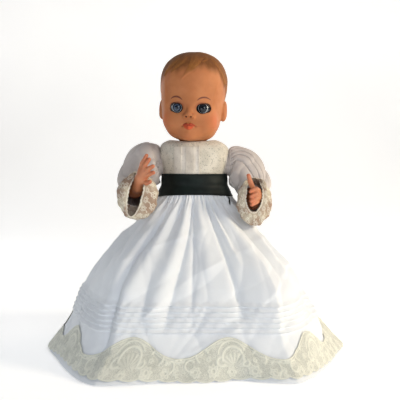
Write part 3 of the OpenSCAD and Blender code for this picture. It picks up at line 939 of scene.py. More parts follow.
def skin_finish():
    """Moulded vinyl, painted with hair, lips and blush, with painted shade in the nostrils, the ear's hollow
    and over the upper eye rims, and near-black round the eye openings that is part liner paint, part painted
    shade.
    """
    f = Finish("doll_skin", 0.42, Specular_IOR_Level=0.22, **VINYL_GLOW)
    skin = f.mottled(26, 4, (0.52, 0.198, 0.078), (0.44, 0.158, 0.060))
    skin = f.over(skin, f.attribute("blush"), 0.62, (0.60, 0.13, 0.045))
    # darker, redder colour in the ear's hollow is painted shade
    skin = f.over(skin, f.attribute("ear_hollow_shade"), 0.5, (0.42, 0.13, 0.06))
    # painted shade in dark brown over the upper rim of each eye opening, from the recess and the lashes
    painted_shade_near_eye = f.ramp(f.attribute("eye_edge"), 4.6, 0.2)
    painted_shade_above_eye = f.ramp(f.attribute("above_eye"), -0.9, 0.7)
    skin = f.over(skin, f.times(painted_shade_near_eye, painted_shade_above_eye), 0.75, (0.22, 0.055, 0.03))
    hair = f.attribute("hair")
    strand = f.attribute("strand")
    grain = f.noise(2.2, 3, (1, 1, 0.25))
    streak = f.add(f.times(strand, 0.5), f.times(grain, 0.6))
    tone = f.mix(f.ramp(streak, 0.2, 0.75), (0.13, 0.045, 0.010), (0.29, 0.11, 0.024))
    crown = f.ramp(hair, 14, 30)
    tone = f.over(tone, crown, 0.55, (0.12, 0.042, 0.010))
    skin = f.over(skin, f.ramp(hair, -9, 9), 0.9, tone)
    # near-black round each eye opening: dark liner paint and painted shade of the socket
    skin = f.mix(f.ramp(f.attribute("eye_edge"), 0.9, 0.3), skin, (0.012, 0.007, 0.006))
    # near-black in the nostrils: painted shade in their holes
    skin = f.mix(f.ramp(f.attribute("nostril"), 2.0, 1.0), skin, (0.10, 0.022, 0.012))
    skin = f.over(skin, f.ramp(f.attribute("lower_lip"), 0.5, -0.7), 0.92, (0.55, 0.075, 0.026))
    skin = f.over(skin, f.ramp(f.attribute("upper_lip"), 0.45, -0.6), 0.95, (0.36, 0.045, 0.018))
    f.colour(skin)
    f.roughen(f.add(f.noise(9, 3), f.times(f.ramp(hair, 0, 8), 0.6)), 0.36, 0.72)
    vinyl_relief(f, 6)
    return f.material


def on_face(x, z, lift):
    """The point on the face's surface straight behind a place seen from the front, in the head's frame."""
    x, z = np.asarray(x, float), np.asarray(z, float)
    near = np.full(x.shape, -72.0)
    far = np.full(x.shape, -20.0)
    for _ in range(26):
        middle = (near + far) / 2
        outside = face_field(places(x, middle, z)) > lift
        near = np.where(outside, middle, near)
        far = np.where(outside, far, middle)
    return places(x, middle, z)


def make_brow(side, material):
    """A thin painted brow as a film of paint on the forehead."""
    line = ((12.4, 75.2), (17.5, 81.2), (26.5, 83.0), (33.0, 77.0))
    share = np.linspace(0, 1, 30)
    middle = curve_through(line, share)
    slope = np.gradient(middle, axis=0)
    across = np.stack([-slope[:, 1], slope[:, 0]], -1) / length(slope)[:, None]
    half = 1.35 * np.sin(math.pi * np.clip(share * 0.94 + 0.03, 0, 1)) ** 0.6
    rows = []
    for edge, lift in ((-1, 0.0), (-0.6, 0.22), (0, 0.28), (0.6, 0.22), (1, 0.0)):
        place = middle + across * (edge * half)[:, None]
        rows.append(on_face(side * place[:, 0], place[:, 1], lift))
    brow = grid_piece("painted_brow_" + SIDE_NAME[side], out_of_head(np.stack(rows)), material, closed=False)
    finish_piece(brow, "head", "skin")


def brow_paint():
    f = Finish("brow_paint", 0.5)
    f.colour(f.mottled(1.2, 3, (0.13, 0.03, 0.012), (0.20, 0.05, 0.02)))
    f.bump(f.noise(0.6, 2), 0.05, 0.4)
    return f.material


# ---- Eyes ----

EYE_COLUMNS = 64
IRIS_EDGE = 37               # degrees from straight ahead to the edge of the iris piece
LASH_COUNT = 34
LASH_SPREAD = 46             # degrees to each side of straight ahead
LASH_ROWS = 6


def eye_middle(side):
    return np.array((side * EYE_X, EYE_Y, EYE_Z))


def dome(side, angles, radius, lift=0.0):
    """Rows of points on a ball round an eye, at angles in degrees from straight ahead."""
    around_axis = circle(EYE_COLUMNS)
    a = np.radians(np.asarray(angles, float))[:, None]
    reach = radius * np.sin(a)
    points = places(reach * np.cos(around_axis), -radius * np.cos(a) - lift, reach * np.sin(around_axis))
    return out_of_head(points + eye_middle(side))


def make_eye(side, white, colour):
    """The eyeball, open at the front, and the domed iris that closes it."""
    name = SIDE_NAME[side]
    ball_angles = np.linspace(34, 179.5, 40)
    body = grid_piece("eyeball_glossy_" + name, dome(side, ball_angles, EYE_R), white)
    paint(body, "gaze", np.repeat(ball_angles, EYE_COLUMNS))
    finish_piece(body, "eyes", "eye_white", "eyeball_" + name)
    angles = np.linspace(0.4, IRIS_EDGE, 22)
    bulge = 0.35 * np.cos(np.radians(angles) / math.radians(IRIS_EDGE) * math.pi / 2)
    points = np.concatenate([dome(side, [a], EYE_R, b) for a, b in zip(angles, bulge)])
    disc = grid_piece("iris_" + name + "_domed", points, colour)
    paint(disc, "gaze", np.repeat(angles, EYE_COLUMNS))
    turn = np.tile(circle(EYE_COLUMNS), len(angles))
    paint(disc, "fibre", 0.5 + 0.25 * np.sin(turn * 31) + 0.25 * np.sin(turn * 47 + 1))
    finish_piece(disc, "eyes", "iris_blue" if side == RIGHT else "iris_dark", "iris_" + name)


def eye_white_finish():
    """Grey-white acrylic, dimmed as painted shade under the lid, that darkens into the painted socket line,
    which is part liner paint and part painted shade.
    """
    f = Finish("eye_white_acrylic", 0.15, Coat_Weight=0.2, Coat_Roughness=0.04)
    gaze = f.attribute("gaze")
    # the white is dimmed to grey: painted shade under the lid
    base = f.mottled(4, 3, (0.50, 0.52, 0.55), (0.42, 0.43, 0.46))
    # black past the iris: liner paint and painted shade of the socket
    f.colour(f.mix(f.ramp(gaze, 40.5, 42.5), base, (0.006, 0.006, 0.008)))
    f.bump(f.noise(0.8, 2), 0.02, 0.2)
    return f.material


def iris_finish(name, deep, mid, pale, glow):
    """Rings of an iris: pupil, deep ring, pale ring, and a black rim."""
    f = Finish(name, 0.12, Specular_IOR_Level=0.3, Coat_Weight=0.3, Coat_Roughness=0.02)
    gaze = f.attribute("gaze")
    fibre = f.attribute("fibre")
    tone = f.over(deep, fibre, 0.8, mid)
    ring = f.times(f.ramp(gaze, 17, 21), f.ramp(gaze, 28, 23))
    tone = f.over(tone, ring, glow, pale)
    tone = f.mix(f.ramp(gaze, 12.5, 10.5), tone, (0.004, 0.005, 0.01))
    f.colour(f.mix(f.ramp(gaze, 29, 33), tone, (0.006, 0.007, 0.012)))
    f.bump(f.times(fibre, 0.5), 0.08, 0.25)
    return f.material


def make_lashes(side, material):
    """Curved hairs rooted along the lid's edge."""
    edge = math.radians(30)
    strands = []
    random = np.random.default_rng(40 + side)
    for i in range(LASH_COUNT):
        share = (i + random.uniform(-0.3, 0.3)) / (LASH_COUNT - 1)
        spread = math.radians(lerp(-LASH_SPREAD, LASH_SPREAD, share))
        t = row_shares(LASH_ROWS)
        reach = 12.7 + 3.0 * t * (1 - 0.25 * abs(spread))
        rise = 0.6 * t ** 1.6 + 0.1
        lean = spread * (1 + 0.10 * t)
        flat = np.concatenate([reach * np.sin(lean), -reach * np.cos(lean), rise], 1)
        spun = flat @ np.array(Matrix.Rotation(-edge, 3, "X")).T
        thick = 0.13 * (1 - 0.8 * t)
        corners = [spun + thick * np.array(v) for v in ((1, 0, 0), (-0.5, 0, 0.87), (-0.5, 0, -0.87))]
        strands.append(np.stack(corners, 1))
    points = np.concatenate(strands)
    faces = []
    for i in range(LASH_COUNT):
        faces += grid_faces(LASH_ROWS, 3, True, first=i * LASH_ROWS * 3)
    lashes = mesh_piece("lashes_" + SIDE_NAME[side] + "_hairs",
                        out_of_head(points.reshape(-1, 3) + eye_middle(side)), faces, material)
    finish_piece(lashes, "eyes", "lash", "lashes_" + SIDE_NAME[side])


def plain_finish(name, rough, light, dark, grain=4, relief=0.06, metallic=0.0):
    """A moulded or metal surface with slight mottling and relief."""
    f = Finish(name, rough, Metallic=metallic)
    f.colour(f.mottled(grain, 4, light, dark))
    f.roughen(f.noise(grain * 2, 3), rough * 0.8, min(rough * 1.3, 1))
    f.bump(f.noise(grain / 4, 3), relief, 0.4)
    return f.material


def give(material, *nodes):
    """A CAD node that keeps its shape gets this material."""
    for name in nodes:
        slots = frame["nodes"][name].data.materials
        slots.clear()
        slots.append(material)


# ---- Arms and hands ----

SHOULDER_Z = 310.0
SHOULDER_PIN = (12.0, 37, 56)            # radius, inner and outer end
SHOULDER_FLANGE = (15.0, 35, 38.5)
ARM_INNER = 52.6                         # the upper arm ends here, but for its pin
# Each limb is a chain of (middle, radius), and each finger a line of three points, as in the CAD model.
ARM = {
    RIGHT: (((-54, 0, 310), 15), ((-62, -1, 308), 16.5), ((-78, -5, 296), 15.5), ((-92, -10, 278), 14),
            ((-100, -20, 266), 13), ((-97, -40, 268), 12), ((-91, -64, 274), 9.6), ((-87.5, -74, 283), 9.0)),
    LEFT: (((54, 0, 310), 15), ((63, -1, 308), 15.5), ((77, -5, 294), 15.5), ((91, -9, 275), 14),
           ((99, -19, 260), 13), ((97, -40, 252), 12), ((96, -64, 246), 9.6), ((97, -75, 252), 9.0)),
}
PALM = {
    RIGHT: (((-85.5, -78, 289), (-81.5, -83, 298), 8.6, 7.6), ((-83.5, -77, 285), (-80, -82, 293), 8.2, 7.4)),
    LEFT: (((97.5, -78, 257), (99.5, -84, 264), 8.6, 7.6), ((100, -77, 254), (101.5, -82, 257), 8.2, 7.2)),
}
FINGERS = {
    RIGHT: (
        ((-86, -81, 298), (-82, -87, 311), (-75.5, -91, 323)),
        ((-82, -84, 299), (-77.5, -90.5, 309), (-71, -94, 317)),
        ((-79, -84, 295), (-72.5, -91, 302), (-65, -95, 306)),
        ((-79, -81, 289), (-71, -89, 294), (-64.5, -94, 296)),
        ((-83, -77, 282), (-76, -84.5, 279.5), (-70, -91, 281.5)),
    ),
    LEFT: (
        ((102, -84, 267), (98, -93, 270), (89.5, -97, 266.5)),
        ((103, -84, 262), (99, -94, 263), (90.5, -98, 258.5)),
        ((103, -83, 256), (99, -93, 256), (90.5, -97, 251.5)),
        ((102, -80, 251), (98.5, -90, 249.5), (91.5, -95, 245.5)),
        ((95, -80, 269), (89.5, -86, 281), (86.5, -89, 291.5)),
    ),
}
FINGER_R = (4.4, 4.0, 3.1)


def chain(p, stations, soft):
    d = None
    for (a, ra), (b, rb) in zip(stations, stations[1:]):
        link = rod(p, a, b, ra, rb)
        d = link if d is None else blend_union(d, link, soft)
    return d


def arm_field(side):
    def field(p):
        d = chain(p, ARM[side], 5)
        for a, b, ra, rb in PALM[side]:
            d = blend_union(d, rod(p, a, b, ra, rb), 5)
        hand = None
        for base, knuckle, tip in FINGERS[side]:
            finger = chain(p, ((base, FINGER_R[0]), (knuckle, FINGER_R[1]), (tip, FINGER_R[2])), 1.2)
            knuckle, tip = np.array(knuckle, float), np.array(tip, float)
            along = (tip - knuckle) / np.linalg.norm(tip - knuckle)
            bend = np.abs((p - knuckle) @ along)
            finger = finger + 0.30 * bell(bend, 0.9)
            joint = np.abs((p - lerp(knuckle, tip, 0.55)) @ along)
            finger = finger + 0.22 * bell(joint, 0.8)
            hand = finger if hand is None else blend_union(hand, finger, 0.9)
        d = blend_union(d, hand, 2.6)
        wrist = np.array(ARM[side][-2][0], float)
        fold = np.abs(length(p - wrist) - 2.0)
        return d + 0.35 * bell(fold, 1.2)
    return field


def shoulder_pin(p, side):
    reach = np.hypot(p[..., 1], p[..., 2] - SHOULDER_Z)
    x = side * p[..., 0]
    return np.minimum(drum(reach, x, *SHOULDER_PIN), drum(reach, x, *SHOULDER_FLANGE))


def make_arm(side, material):
    name = SIDE_NAME[side]
    hand = arm_field(side)

    def field(p):
        face = ARM_INNER - side * p[..., 0]
        return np.minimum(np.maximum(hand(p), face), shoulder_pin(p, side))
    low, high = node_box("arm_" + name)
    step = 0.9
    arm = field_piece("arm_" + name + "_moulded", field, low - 4, high + 4, step, material)
    points = mesh_points(arm.data)
    tips = [close_to(points, tip, 5.5) for _, _, tip in FINGERS[side]]
    paint(arm, "blush", np.maximum.reduce(tips) * 0.8)
    finish_piece(arm, side_arm(side), "skin", "arm_" + name)


def side_arm(side):
    return SIDE_NAME[side] + "_arm"


def limb_skin():
    """The same vinyl for arms and legs."""
    f = Finish("limb_skin", 0.45, **VINYL_GLOW)
    skin = f.mottled(18, 4, (0.60, 0.235, 0.11), (0.50, 0.18, 0.085))
    f.colour(f.over(skin, f.attribute("blush"), 0.55, (0.55, 0.11, 0.05)))
    f.roughen(f.noise(9, 3), 0.38, 0.56)
    vinyl_relief(f, 5)
    return f.material


# ---- Tubes of cloth along a curved line ----

SLEEVE = {
    RIGHT: (((-59, 0, 312), 25), ((-69, 0, 312), 34), ((-80, -3, 307), 38.5), ((-97, -11, 284), 33.5),
            ((-101, -24, 266), 29), ((-96, -47, 262), 22.5)),
    LEFT: (((59, 0, 311), 25), ((70, 0, 310), 31), ((82, -2, 300), 34.5), ((97, -9, 276), 31.5),
           ((101, -22, 259), 27.5), ((98.5, -47, 252), 22.5)),
}
SLEEVE_CREASE = 4.6            # depth of the creases that run from the armhole
SLEEVE_KEEP_OUT = 58.4       # nothing of a sleeve comes nearer to the middle than this,
ARM_ROOT_X = 49.0            # but for its gathered root inside the armhole
ARM_ROOT_R = 20.6
# The lace cuff's rings from the wrist to the mouth: ((x, y, z), half width, half height).
CUFF = {
    RIGHT: (((-96, -47, 262), 22.5, 22.5), ((-94, -56, 261), 29, 29), ((-91.5, -68, 258.5), 33, 36.5),
            ((-91.5, -80, 257.5), 31, 37.5), ((-93.5, -87, 260), 21, 37), ((-93.5, -88, 261.5), 11.5, 36)),
    LEFT: (((98.5, -47, 252), 22.5, 22.5), ((98, -56, 251), 27, 29), ((97, -68, 249.5), 28, 36.5),
           ((97, -80, 249.5), 27, 38), ((96.5, -87, 256), 20, 32), ((96, -88, 260), 13.5, 27.5)),
}
MOUTH_SLANT = {RIGHT: 0.20, LEFT: 0.05}      # how far the mouth's top leans towards the doll's left
TOP_SET_BACK = 24.0          # the mouth's top edge lies this far behind its bottom edge, over the wrist


def smooth_path(values, shares):
    """A smooth curve through rows of numbers (Catmull-Rom), at shares from 0 to 1."""
    v = np.asarray(values, float)
    v = np.vstack([2 * v[0] - v[1], v, 2 * v[-1] - v[-2]])
    place = np.clip(np.asarray(shares) * (len(v) - 3), 0, len(v) - 3 - 1e-9)
    i = place.astype(int)
    t = (place - i)[:, None]
    a, b, c, d = v[i], v[i + 1], v[i + 2], v[i + 3]
    return 0.5 * (2 * b + (c - a) * t + (2 * a - 5 * b + 4 * c - d) * t ** 2
                  + (3 * b - a - 3 * c + d) * t ** 3)


def unit(v):
    return v / np.linalg.norm(v, axis=-1, keepdims=True)


def rings(middles, starts_along, guide):
    """Two directions across a line at each of its points, with the first ring's direction given."""
    along = np.gradient(middles, axis=0)
    along[0] = starts_along
    along = unit(along)
    mix = np.clip(np.arange(len(along)) / 6, 0, 1)[:, None]
    along = unit(lerp(np.array(starts_along, float), along, mix))
    over = unit(np.cross(along, guide))
    return over, np.cross(along, over), along


def sleeve_lean(side, a, s):
    """Angle around a sleeve, skewed so that its folds run at a slant."""
    return a + 0.35 * np.sin(3 * a + side) + 0.5 * s


def sleeve_radius(side, plain_radius, a, s, gathers_in):
    """A sleeve's radius with its creases, at angles a around it and shares s along it."""
    near_arm_hole = 1 - smooth_step(s, 0.10, 0.55)
    near_cuff = smooth_step(s, 0.72, 0.97)
    lean = sleeve_lean(side, a, s)
    lobes = valley(np.sin(5.5 * lean + 0.4 * np.sin(5 * s + side)))
    soft = ripples(a + 1.3 * s, (3, 5, 7), 60 + side)
    elbow = np.abs((s * 7.5 + 1.1 * np.sin(a + 1.2 * side) + 0.5 * np.sin(3 * a)) % 2 - 1)
    bent = smooth_step(s, 0.34, 0.5) * (1 - smooth_step(s, 0.78, 0.92))
    creased = SLEEVE_CREASE * lobes * smooth_step(s, 0.0, 0.06) * (0.5 + 0.5 * near_arm_hole)
    radius = plain_radius - creased
    radius = radius - 1.7 * gathers_in * (1 - smooth_step(s, 0.04, 0.30))
    radius = radius - 1.5 * gathers_in * near_cuff
    radius = radius + 2.2 * soft * smooth_step(s, 0.10, 0.4) * (1 - 0.6 * near_cuff)
    return radius - 4.6 * valley(elbow) * bent


def make_sleeve(side, material):
    name = SIDE_NAME[side]
    shares = np.linspace(0, 1, 130)
    stations = [(*place, radius) for place, radius in SLEEVE[side]]
    path = smooth_path(stations, shares)
    over, up, along = rings(path[:, :3], (side, 0, 0), (-side, 1, -1))
    a = circle(360)
    s = shares[:, None]
    gathers_in = valley(np.sin(15 * sleeve_lean(side, a, s) + 0.6 * np.sin(7 * a)))
    radius = sleeve_radius(side, path[:, 3][:, None], a, s, gathers_in)
    points = path[:, None, :3] + radius[..., None] * (np.cos(a)[:, None] * over[:, None]
                                                      + np.sin(a)[:, None] * up[:, None])
    points[..., 0] = side * np.maximum(side * points[..., 0], SLEEVE_KEEP_OUT)
    inward = np.linspace(ARM_ROOT_X, SLEEVE_KEEP_OUT - 0.4, 7)[:, None]
    root_r = ARM_ROOT_R - 0.9 * gathers_in[:1]
    root_y = root_r * (np.cos(a) * over[0, 1] + np.sin(a) * up[0, 1])
    root_z = SHOULDER_Z + root_r * (np.cos(a) * over[0, 2] + np.sin(a) * up[0, 2])
    root = places(side * inward, root_y, root_z)
    points = np.concatenate([root, points])
    sleeve = grid_piece("puff_sleeve_" + name, points, material)
    finish_piece(sleeve, side_arm(side), "white_cotton", "sleeve_" + name)
    make_wrist_band(side, path[-1], over[-1], up[-1], along[-1], material)


def make_wrist_band(side, last, over, up, along, material):
    """A corded seam that gathers the sleeve where the lace starts."""
    a = circle(120)
    tube = circle(9)
    thick = 1.5 + 0.25 * np.sin(a * 33)
    reach = last[3] + 0.4 + thick[None, :] * np.cos(tube)[:, None]
    ring = np.cos(a)[:, None] * over + np.sin(a)[:, None] * up
    points = last[:3] + reach[..., None] * ring + (thick[None, :] * np.sin(tube)[:, None])[..., None] * along
    tube_points = np.concatenate([points, points[:1]])
    band = grid_piece("wrist_seam_" + SIDE_NAME[side], tube_points, material)
    finish_piece(band, side_arm(side), "white_cotton")


CUFF_DEPTH = 56.0            # the lace's depth from the rim to the wrist
CUFF_ROUND = 180.0           # and its length around


def cuff_motifs(u, v):
    """Pattern of the cuff's lace: rows of small flowers and eyelets over a net, v from the rim."""
    rows = []
    for height, size, gap, shift in ((8, 4.6, 12, 0), (19, 5.2, 15, 6), (30, 4.2, 12, 3), (41, 3.8, 10, 0)):
        along = (u + shift) % gap
        rows.append(rosette(along, v, gap / 2, height, size, 6))
        rows.append(arc_line(along, v, 0.5, height + 3.5, 3.4, 10, 190, 0.9))
    rim = stroke(v - 1.3, 1.5)
    return np.maximum.reduce(rows + [rim])


def make_cuff(side, material):
    name = SIDE_NAME[side]
    a = circle(460)
    t = np.linspace(0.01, 1, 70)
    path = smooth_path([(*place, wide, high) for place, wide, high in CUFF[side]], t)
    t = t[:, None]
    x, y, z, wide, high = (path[:, k][:, None] for k in range(5))
    to_mouth = smooth_step(t, 0.70, 1.0)
    folds = ripples(a, (5, 8, 11), 80 + side) * (2.2 * bell(t - 0.55, 0.3) + 0.6 * to_mouth)
    folds = folds + 0.9 * ripples(a, (21, 27), 90 + side) * (1 - t) ** 0.6
    scallop = 1.5 * np.abs(np.sin(a * 17)) ** 0.7 * smooth_step(t, 0.94, 1.0)
    grow = folds - scallop
    depth = CUFF_DEPTH * (1 - t) + 0 * a
    relief = cuff_motifs(a * CUFF_ROUND / TAU + 0 * depth, depth)
    grow = grow + 0.45 * relief
    up = np.sin(a)
    lifted = z + (high + grow) * up
    across = x + (wide + grow) * np.cos(a) + MOUTH_SLANT[side] * (lifted - z) * to_mouth
    set_back = TOP_SET_BACK * smooth_step(up, 0.25, 0.95) * smooth_step(t, 0.35, 1.0)
    points = places(across, y + set_back + 0.8 * folds, lifted)
    cuff = grid_piece("lace_cuff_" + name, points, material)
    paint(cuff, "cord", relief)
    finish_piece(cuff, side_arm(side), "lace", "cuff_lace_" + name)


# ---- Bodice, neck ruffle and piping ----

# The bodice at a few heights: (z, half width, half depth); its neck edge rises at the sides.
BODICE = ((259.5, 49.5, 43), (276, 51.5, 43.6), (292, 54, 44), (308, 56.5, 44.5), (322, 58, 43.5),
          (331, 58.5, 41.5), (338, 56, 39), (343, 49, 35.5), (347, 38, 31.5))
SIDE_RISE = 3.2
ARM_HOLE_R = 22.0
RUFFLE_INNER_R = 22.5
RUFFLE_TOP_Z = 347.2
NECK_SHIFT = 3.0             # the neckline lies this far to the doll's right
NECK_FROM, NECK_TO = 330, 347            # heights between which the bodice slopes to the neck
PANEL = (-33.0, 9.0, 293.0, 338.0)       # left, right, bottom and top edges of the tucked front panel


def bodice_size(level, lift):
    section = smooth_path(BODICE, np.linspace(0, 1, 240))
    rx = np.interp(level, section[:, 0], section[:, 1]) + lift
    ry = np.interp(level, section[:, 0], section[:, 2]) + lift
    return rx, ry


def squareness(level):
    """Power of the bodice's plan: 1 is an oval, and less has fuller corners."""
    return lerp(1, 0.82, smooth_step(level, 290, 314))


def bodice_points(turn, level, lift):
    """Places on the bodice; level is the height at the front, and the shoulders slope up to the neck."""
    rx, ry = bodice_size(level, lift)
    angle = np.radians(turn)
    over, front = np.sin(angle), -np.cos(angle)
    power = squareness(level)
    x = rx * np.sign(over) * np.abs(over) ** power
    y = ry * np.sign(front) * np.abs(front) ** power
    neck = smooth_step(level, NECK_FROM, NECK_TO)
    z = level + SIDE_RISE * neck * np.abs(over) ** 3
    return places(x - NECK_SHIFT * neck, y, z)


def bodice_wall(y, z):
    """Half width of the bodice at a place on its side."""
    rx, ry = bodice_size(z, 0)
    power = squareness(z)
    return rx * np.maximum(1 - np.abs(y / ry) ** (2 / power), 0) ** (power / 2)


def eyelet_relief(along, z):
    """Small embroidered dots in staggered rows."""
    row = np.floor(z / 3.1)
    du = (along + 1.6 * (row % 2)) % 3.2 - 1.6
    dv = z % 3.1 - 1.55
    return bell(np.hypot(du, dv), 0.75)


def make_bodice(material, panel_material):
    turn = turns(520)
    level = np.linspace(259.6, 346.8, 120)[:, None] + 0 * turn
    along = np.radians(turn) * 50
    shirr = 0.4 * ripples(np.radians(turn), (60, 77), 101) * smooth_step(level, 334, 345)
    pull = 0.7 * ripples(np.radians(turn) + level / 90, (9, 14), 102)
    points = bodice_points(turn, level, 0.3 * eyelet_relief(along, level) + shirr + pull)
    hole = np.hypot(points[..., 1], points[..., 2] - SHOULDER_Z) < ARM_HOLE_R - 0.5
    open_arm = (hole & (np.abs(points[..., 0]) > 25)).ravel()
    faces = [f for f in grid_faces(*level.shape, True) if not open_arm[list(f)].all()]
    bodice = mesh_piece("gown_bodice", points.reshape(-1, 3), faces, material)
    paint(bodice, "dots", eyelet_relief(along + 0 * level, level))
    finish_piece(bodice, "torso", "bodice_cloth", "bodice")
    make_bodice_panel(panel_material)


def make_bodice_panel(material):
    left, right, bottom, top = PANEL
    x = np.linspace(left, right, 260)[None, :]
    level = np.linspace(bottom, top, 60)[:, None]
    rx, ry = bodice_size(level, 0)
    neck = smooth_step(level, NECK_FROM, NECK_TO)
    share = np.clip(np.abs((x + NECK_SHIFT * neck) / rx), 0, 0.98)
    power = squareness(level)
    y = -ry * (1 - share ** (2 / power)) ** (power / 2)
    group = smooth_step(np.sin((x - left) / 10.5 * math.pi), -0.75, -0.45)
    tucks = (0.5 + 0.5 * np.sin((x - left) / 2.1 * TAU)) ** 2 * group
    lift = 1.3 + 1.2 * tucks + 0.1 * np.sin(level / 1.9)
    z = level + SIDE_RISE * neck * share ** 3.6
    points = places(x, y - lift, z)
    panel = grid_piece("bodice_pintuck_panel", points, material, closed=False)
    paint(panel, "dots", np.broadcast_to(tucks * 0.5, points.shape[:2]))
    finish_piece(panel, "torso", "bodice_cloth", "bodice_panel")


def bodice_finish(name, light, dark, speck):
    """Cream cloth with raised dots, and darker holes as strong as speck."""
    f = Finish(name, 0.85, Sheen_Weight=0.12)
    dots = f.attribute("dots")
    cloth = f.mottled(16, 3, light, dark, 0.35, 0.65)
    cloth = f.over(cloth, f.ramp(dots, 0.2, 0.8), 0.35, (0.80, 0.77, 0.68))
    hole = f.times(f.ramp(f.noise(2.6, 2), 0.60, 0.66), speck)
    f.colour(f.mix(hole, cloth, tuple(c * 0.45 for c in dark)))
    f.bump(f.add(f.weave(0.7), f.noise(0.9, 3)), 0.16, 0.6)
    return f.material


def make_ruffle(material):
    """A gathered band of net that fills the neck opening."""
    turn = turns(480)
    angle = np.radians(turn)
    t = row_shares(26)
    wave = ripples(angle, (34, 41, 50), 111)
    edge = bodice_points(turn, 346.0 + 0 * turn, 0.9)
    rx = lerp(np.abs(edge[..., 0] + NECK_SHIFT).max(), RUFFLE_INNER_R, t)
    ry = lerp(np.abs(edge[..., 1]).max(), RUFFLE_INNER_R, t)
    gather = 0.9 * wave * (0.4 + 0.6 * np.sin(math.pi * t))
    x = -NECK_SHIFT + (rx + gather) * np.sin(angle)
    y = -(ry + gather) * np.cos(angle)
    z = lerp(edge[..., 2], RUFFLE_TOP_Z, t) + np.sin(math.pi * t) + 0.5 * wave * np.sin(math.pi * t)
    ruffle = grid_piece("neck_ruffle_net", places(x, y, z), material)
    paint(ruffle, "dots", np.abs(wave) * np.sin(math.pi * t))
    finish_piece(ruffle, "torso", "bodice_cloth", "neck_ruffle")


def make_piping(side, material):
    """A twisted cord that follows the armhole's edge."""
    a = circle(240)
    b = circle(10)
    thick = 1.25 * (1 + 0.12 * np.cos(60 * a[:, None] + b))
    reach = ARM_HOLE_R + 0.4 + thick * np.cos(b)
    y = reach * np.cos(a)[:, None]
    z = SHOULDER_Z + reach * np.sin(a)[:, None]
    edge = bodice_wall(ARM_HOLE_R * np.cos(a), SHOULDER_Z + ARM_HOLE_R * np.sin(a))[:, None]
    x = side * (np.minimum(edge, 56.4) + thick * np.sin(b))
    piece = grid_piece("piping_" + SIDE_NAME[side], places(x, y, z).transpose(1, 0, 2), material)
    finish_piece(piece, "torso", "white_cotton", "armhole_piping_" + SIDE_NAME[side])


# ---- Sash, bow and tails ----

def satin_finish():
    """Dark green satin with its threads along the band."""
    f = Finish("green_satin", 0.5, Sheen_Weight=0.06, Sheen_Roughness=0.4, Specular_IOR_Level=0.2)
    thread = f.noise(0.5, 2, (0.15, 0.15, 4))
    f.colour(f.mottled(14, 3, (0.0045, 0.010, 0.0085), (0.002, 0.005, 0.0045)))
    f.roughen(f.noise(8, 3), 0.46, 0.62)
    f.bump(f.add(thread, f.noise(3, 3)), 0.07, 0.5)
    return f.material


SATIN_THICK = 0.8
BOW_THICK = 0.7
TAIL_LIFT = 4.2              # the tails stand this far off the skirt


def make_sash(material):
    low, high = node_box("sash")
    turn = turns(360)
    angle = np.radians(turn)
    t = row_shares(46)
    sections = ((low[2], 64.5, 54.6), (276, 57.2, 49.2), (high[2], 55.2, 47.4))
    outline = smooth_path(sections, t[:, 0])
    folds = 0.7 * np.sin(t * 11 + 0.9 * np.sin(angle * 2 + 1)) * bell(t - 0.5, 0.4)
    folds = folds + 0.5 * ripples(angle, (5, 8), 121)
    hem = 0.8 * (bell(t - 0.03, 0.02) + bell(t - 0.97, 0.02))
    lift = folds * np.sin(math.pi * t) + hem
    rx = outline[:, 1][:, None] + lift
    ry = outline[:, 2][:, None] + lift
    z = outline[:, 0][:, None] + 0.8 * ripples(angle, (2, 3, 5), 122) - 4.5 * np.sin(angle) ** 2 * (1 - t)
    points = places(rx * np.sin(angle), -ry * np.cos(angle), z)
    band = grid_piece("satin_sash", points, material)
    thicken(band, SATIN_THICK)
    finish_piece(band, "torso", "green_satin", "sash")
    make_sash_end(material)


def make_sash_end(material):
    """The narrow end of the sash that hangs straight down over the skirt at the doll's left side."""
    share = row_shares(24)
    w = across_shares(7)
    z = 260 - 17 * share - 1.5 * w * share
    x = 57.5 + w * (1.5 - 0.6 * share) + 0.8 * share
    radius = skirt_radius(62 - 8 * share, z + 0 * w)
    y = -np.sqrt(np.maximum(radius ** 2 - x ** 2, 100)) - 2.5 - 0.5 * np.sin(share * 7)
    end = grid_piece("sash_end", places(x, y, z), material, closed=False)
    thicken(end, SATIN_THICK)
    finish_piece(end, "torso", "green_satin")


BOW_LOW, BOW_HIGH = node_box("sash_bow")
BOW_Z = (BOW_LOW[2] + BOW_HIGH[2]) / 2


def make_bow_loop(side, material):
    t = row_shares(60)
    w = across_shares(25)
    out = np.sin(math.pi * t)
    x = side * (3 + (BOW_HIGH[0] - 4) * out ** 0.72)
    deep = BOW_LOW[1] + 1.6 + 9.0 * (0.5 - 0.5 * np.cos(math.pi * t))
    width = 4.5 + 9.5 * out ** 0.8
    pleat = 1.1 * np.sin(w * 7 + 2 * t) * (1 - out * 0.75)
    z = BOW_Z + w * width - 2.5 * out * (0.5 + 0.5 * w)
    points = places(x + 1.4 * pleat * side, deep + pleat, z)
    loop = grid_piece("bow_loop_" + SIDE_NAME[side], points, material, closed=False)
    thicken(loop, BOW_THICK)
    finish_piece(loop, "torso", "green_satin", "sash_bow")


def make_bow_knot(material):
    a = circle(48)
    t = np.linspace(-1, 1, 22)[:, None]
    round_r = 6.0 + 0.5 * np.sin(a * 5 + t * 2)
    x = t * 6.5
    swell = 1 - 0.25 * t ** 2
    y = (BOW_LOW[1] + 7.0) + swell * round_r * np.cos(a)
    z = BOW_Z + 1.2 * swell * round_r * np.sin(a)
    knot = grid_piece("bow_knot", places(x, y, z), material)
    finish_piece(knot, "torso", "green_satin")


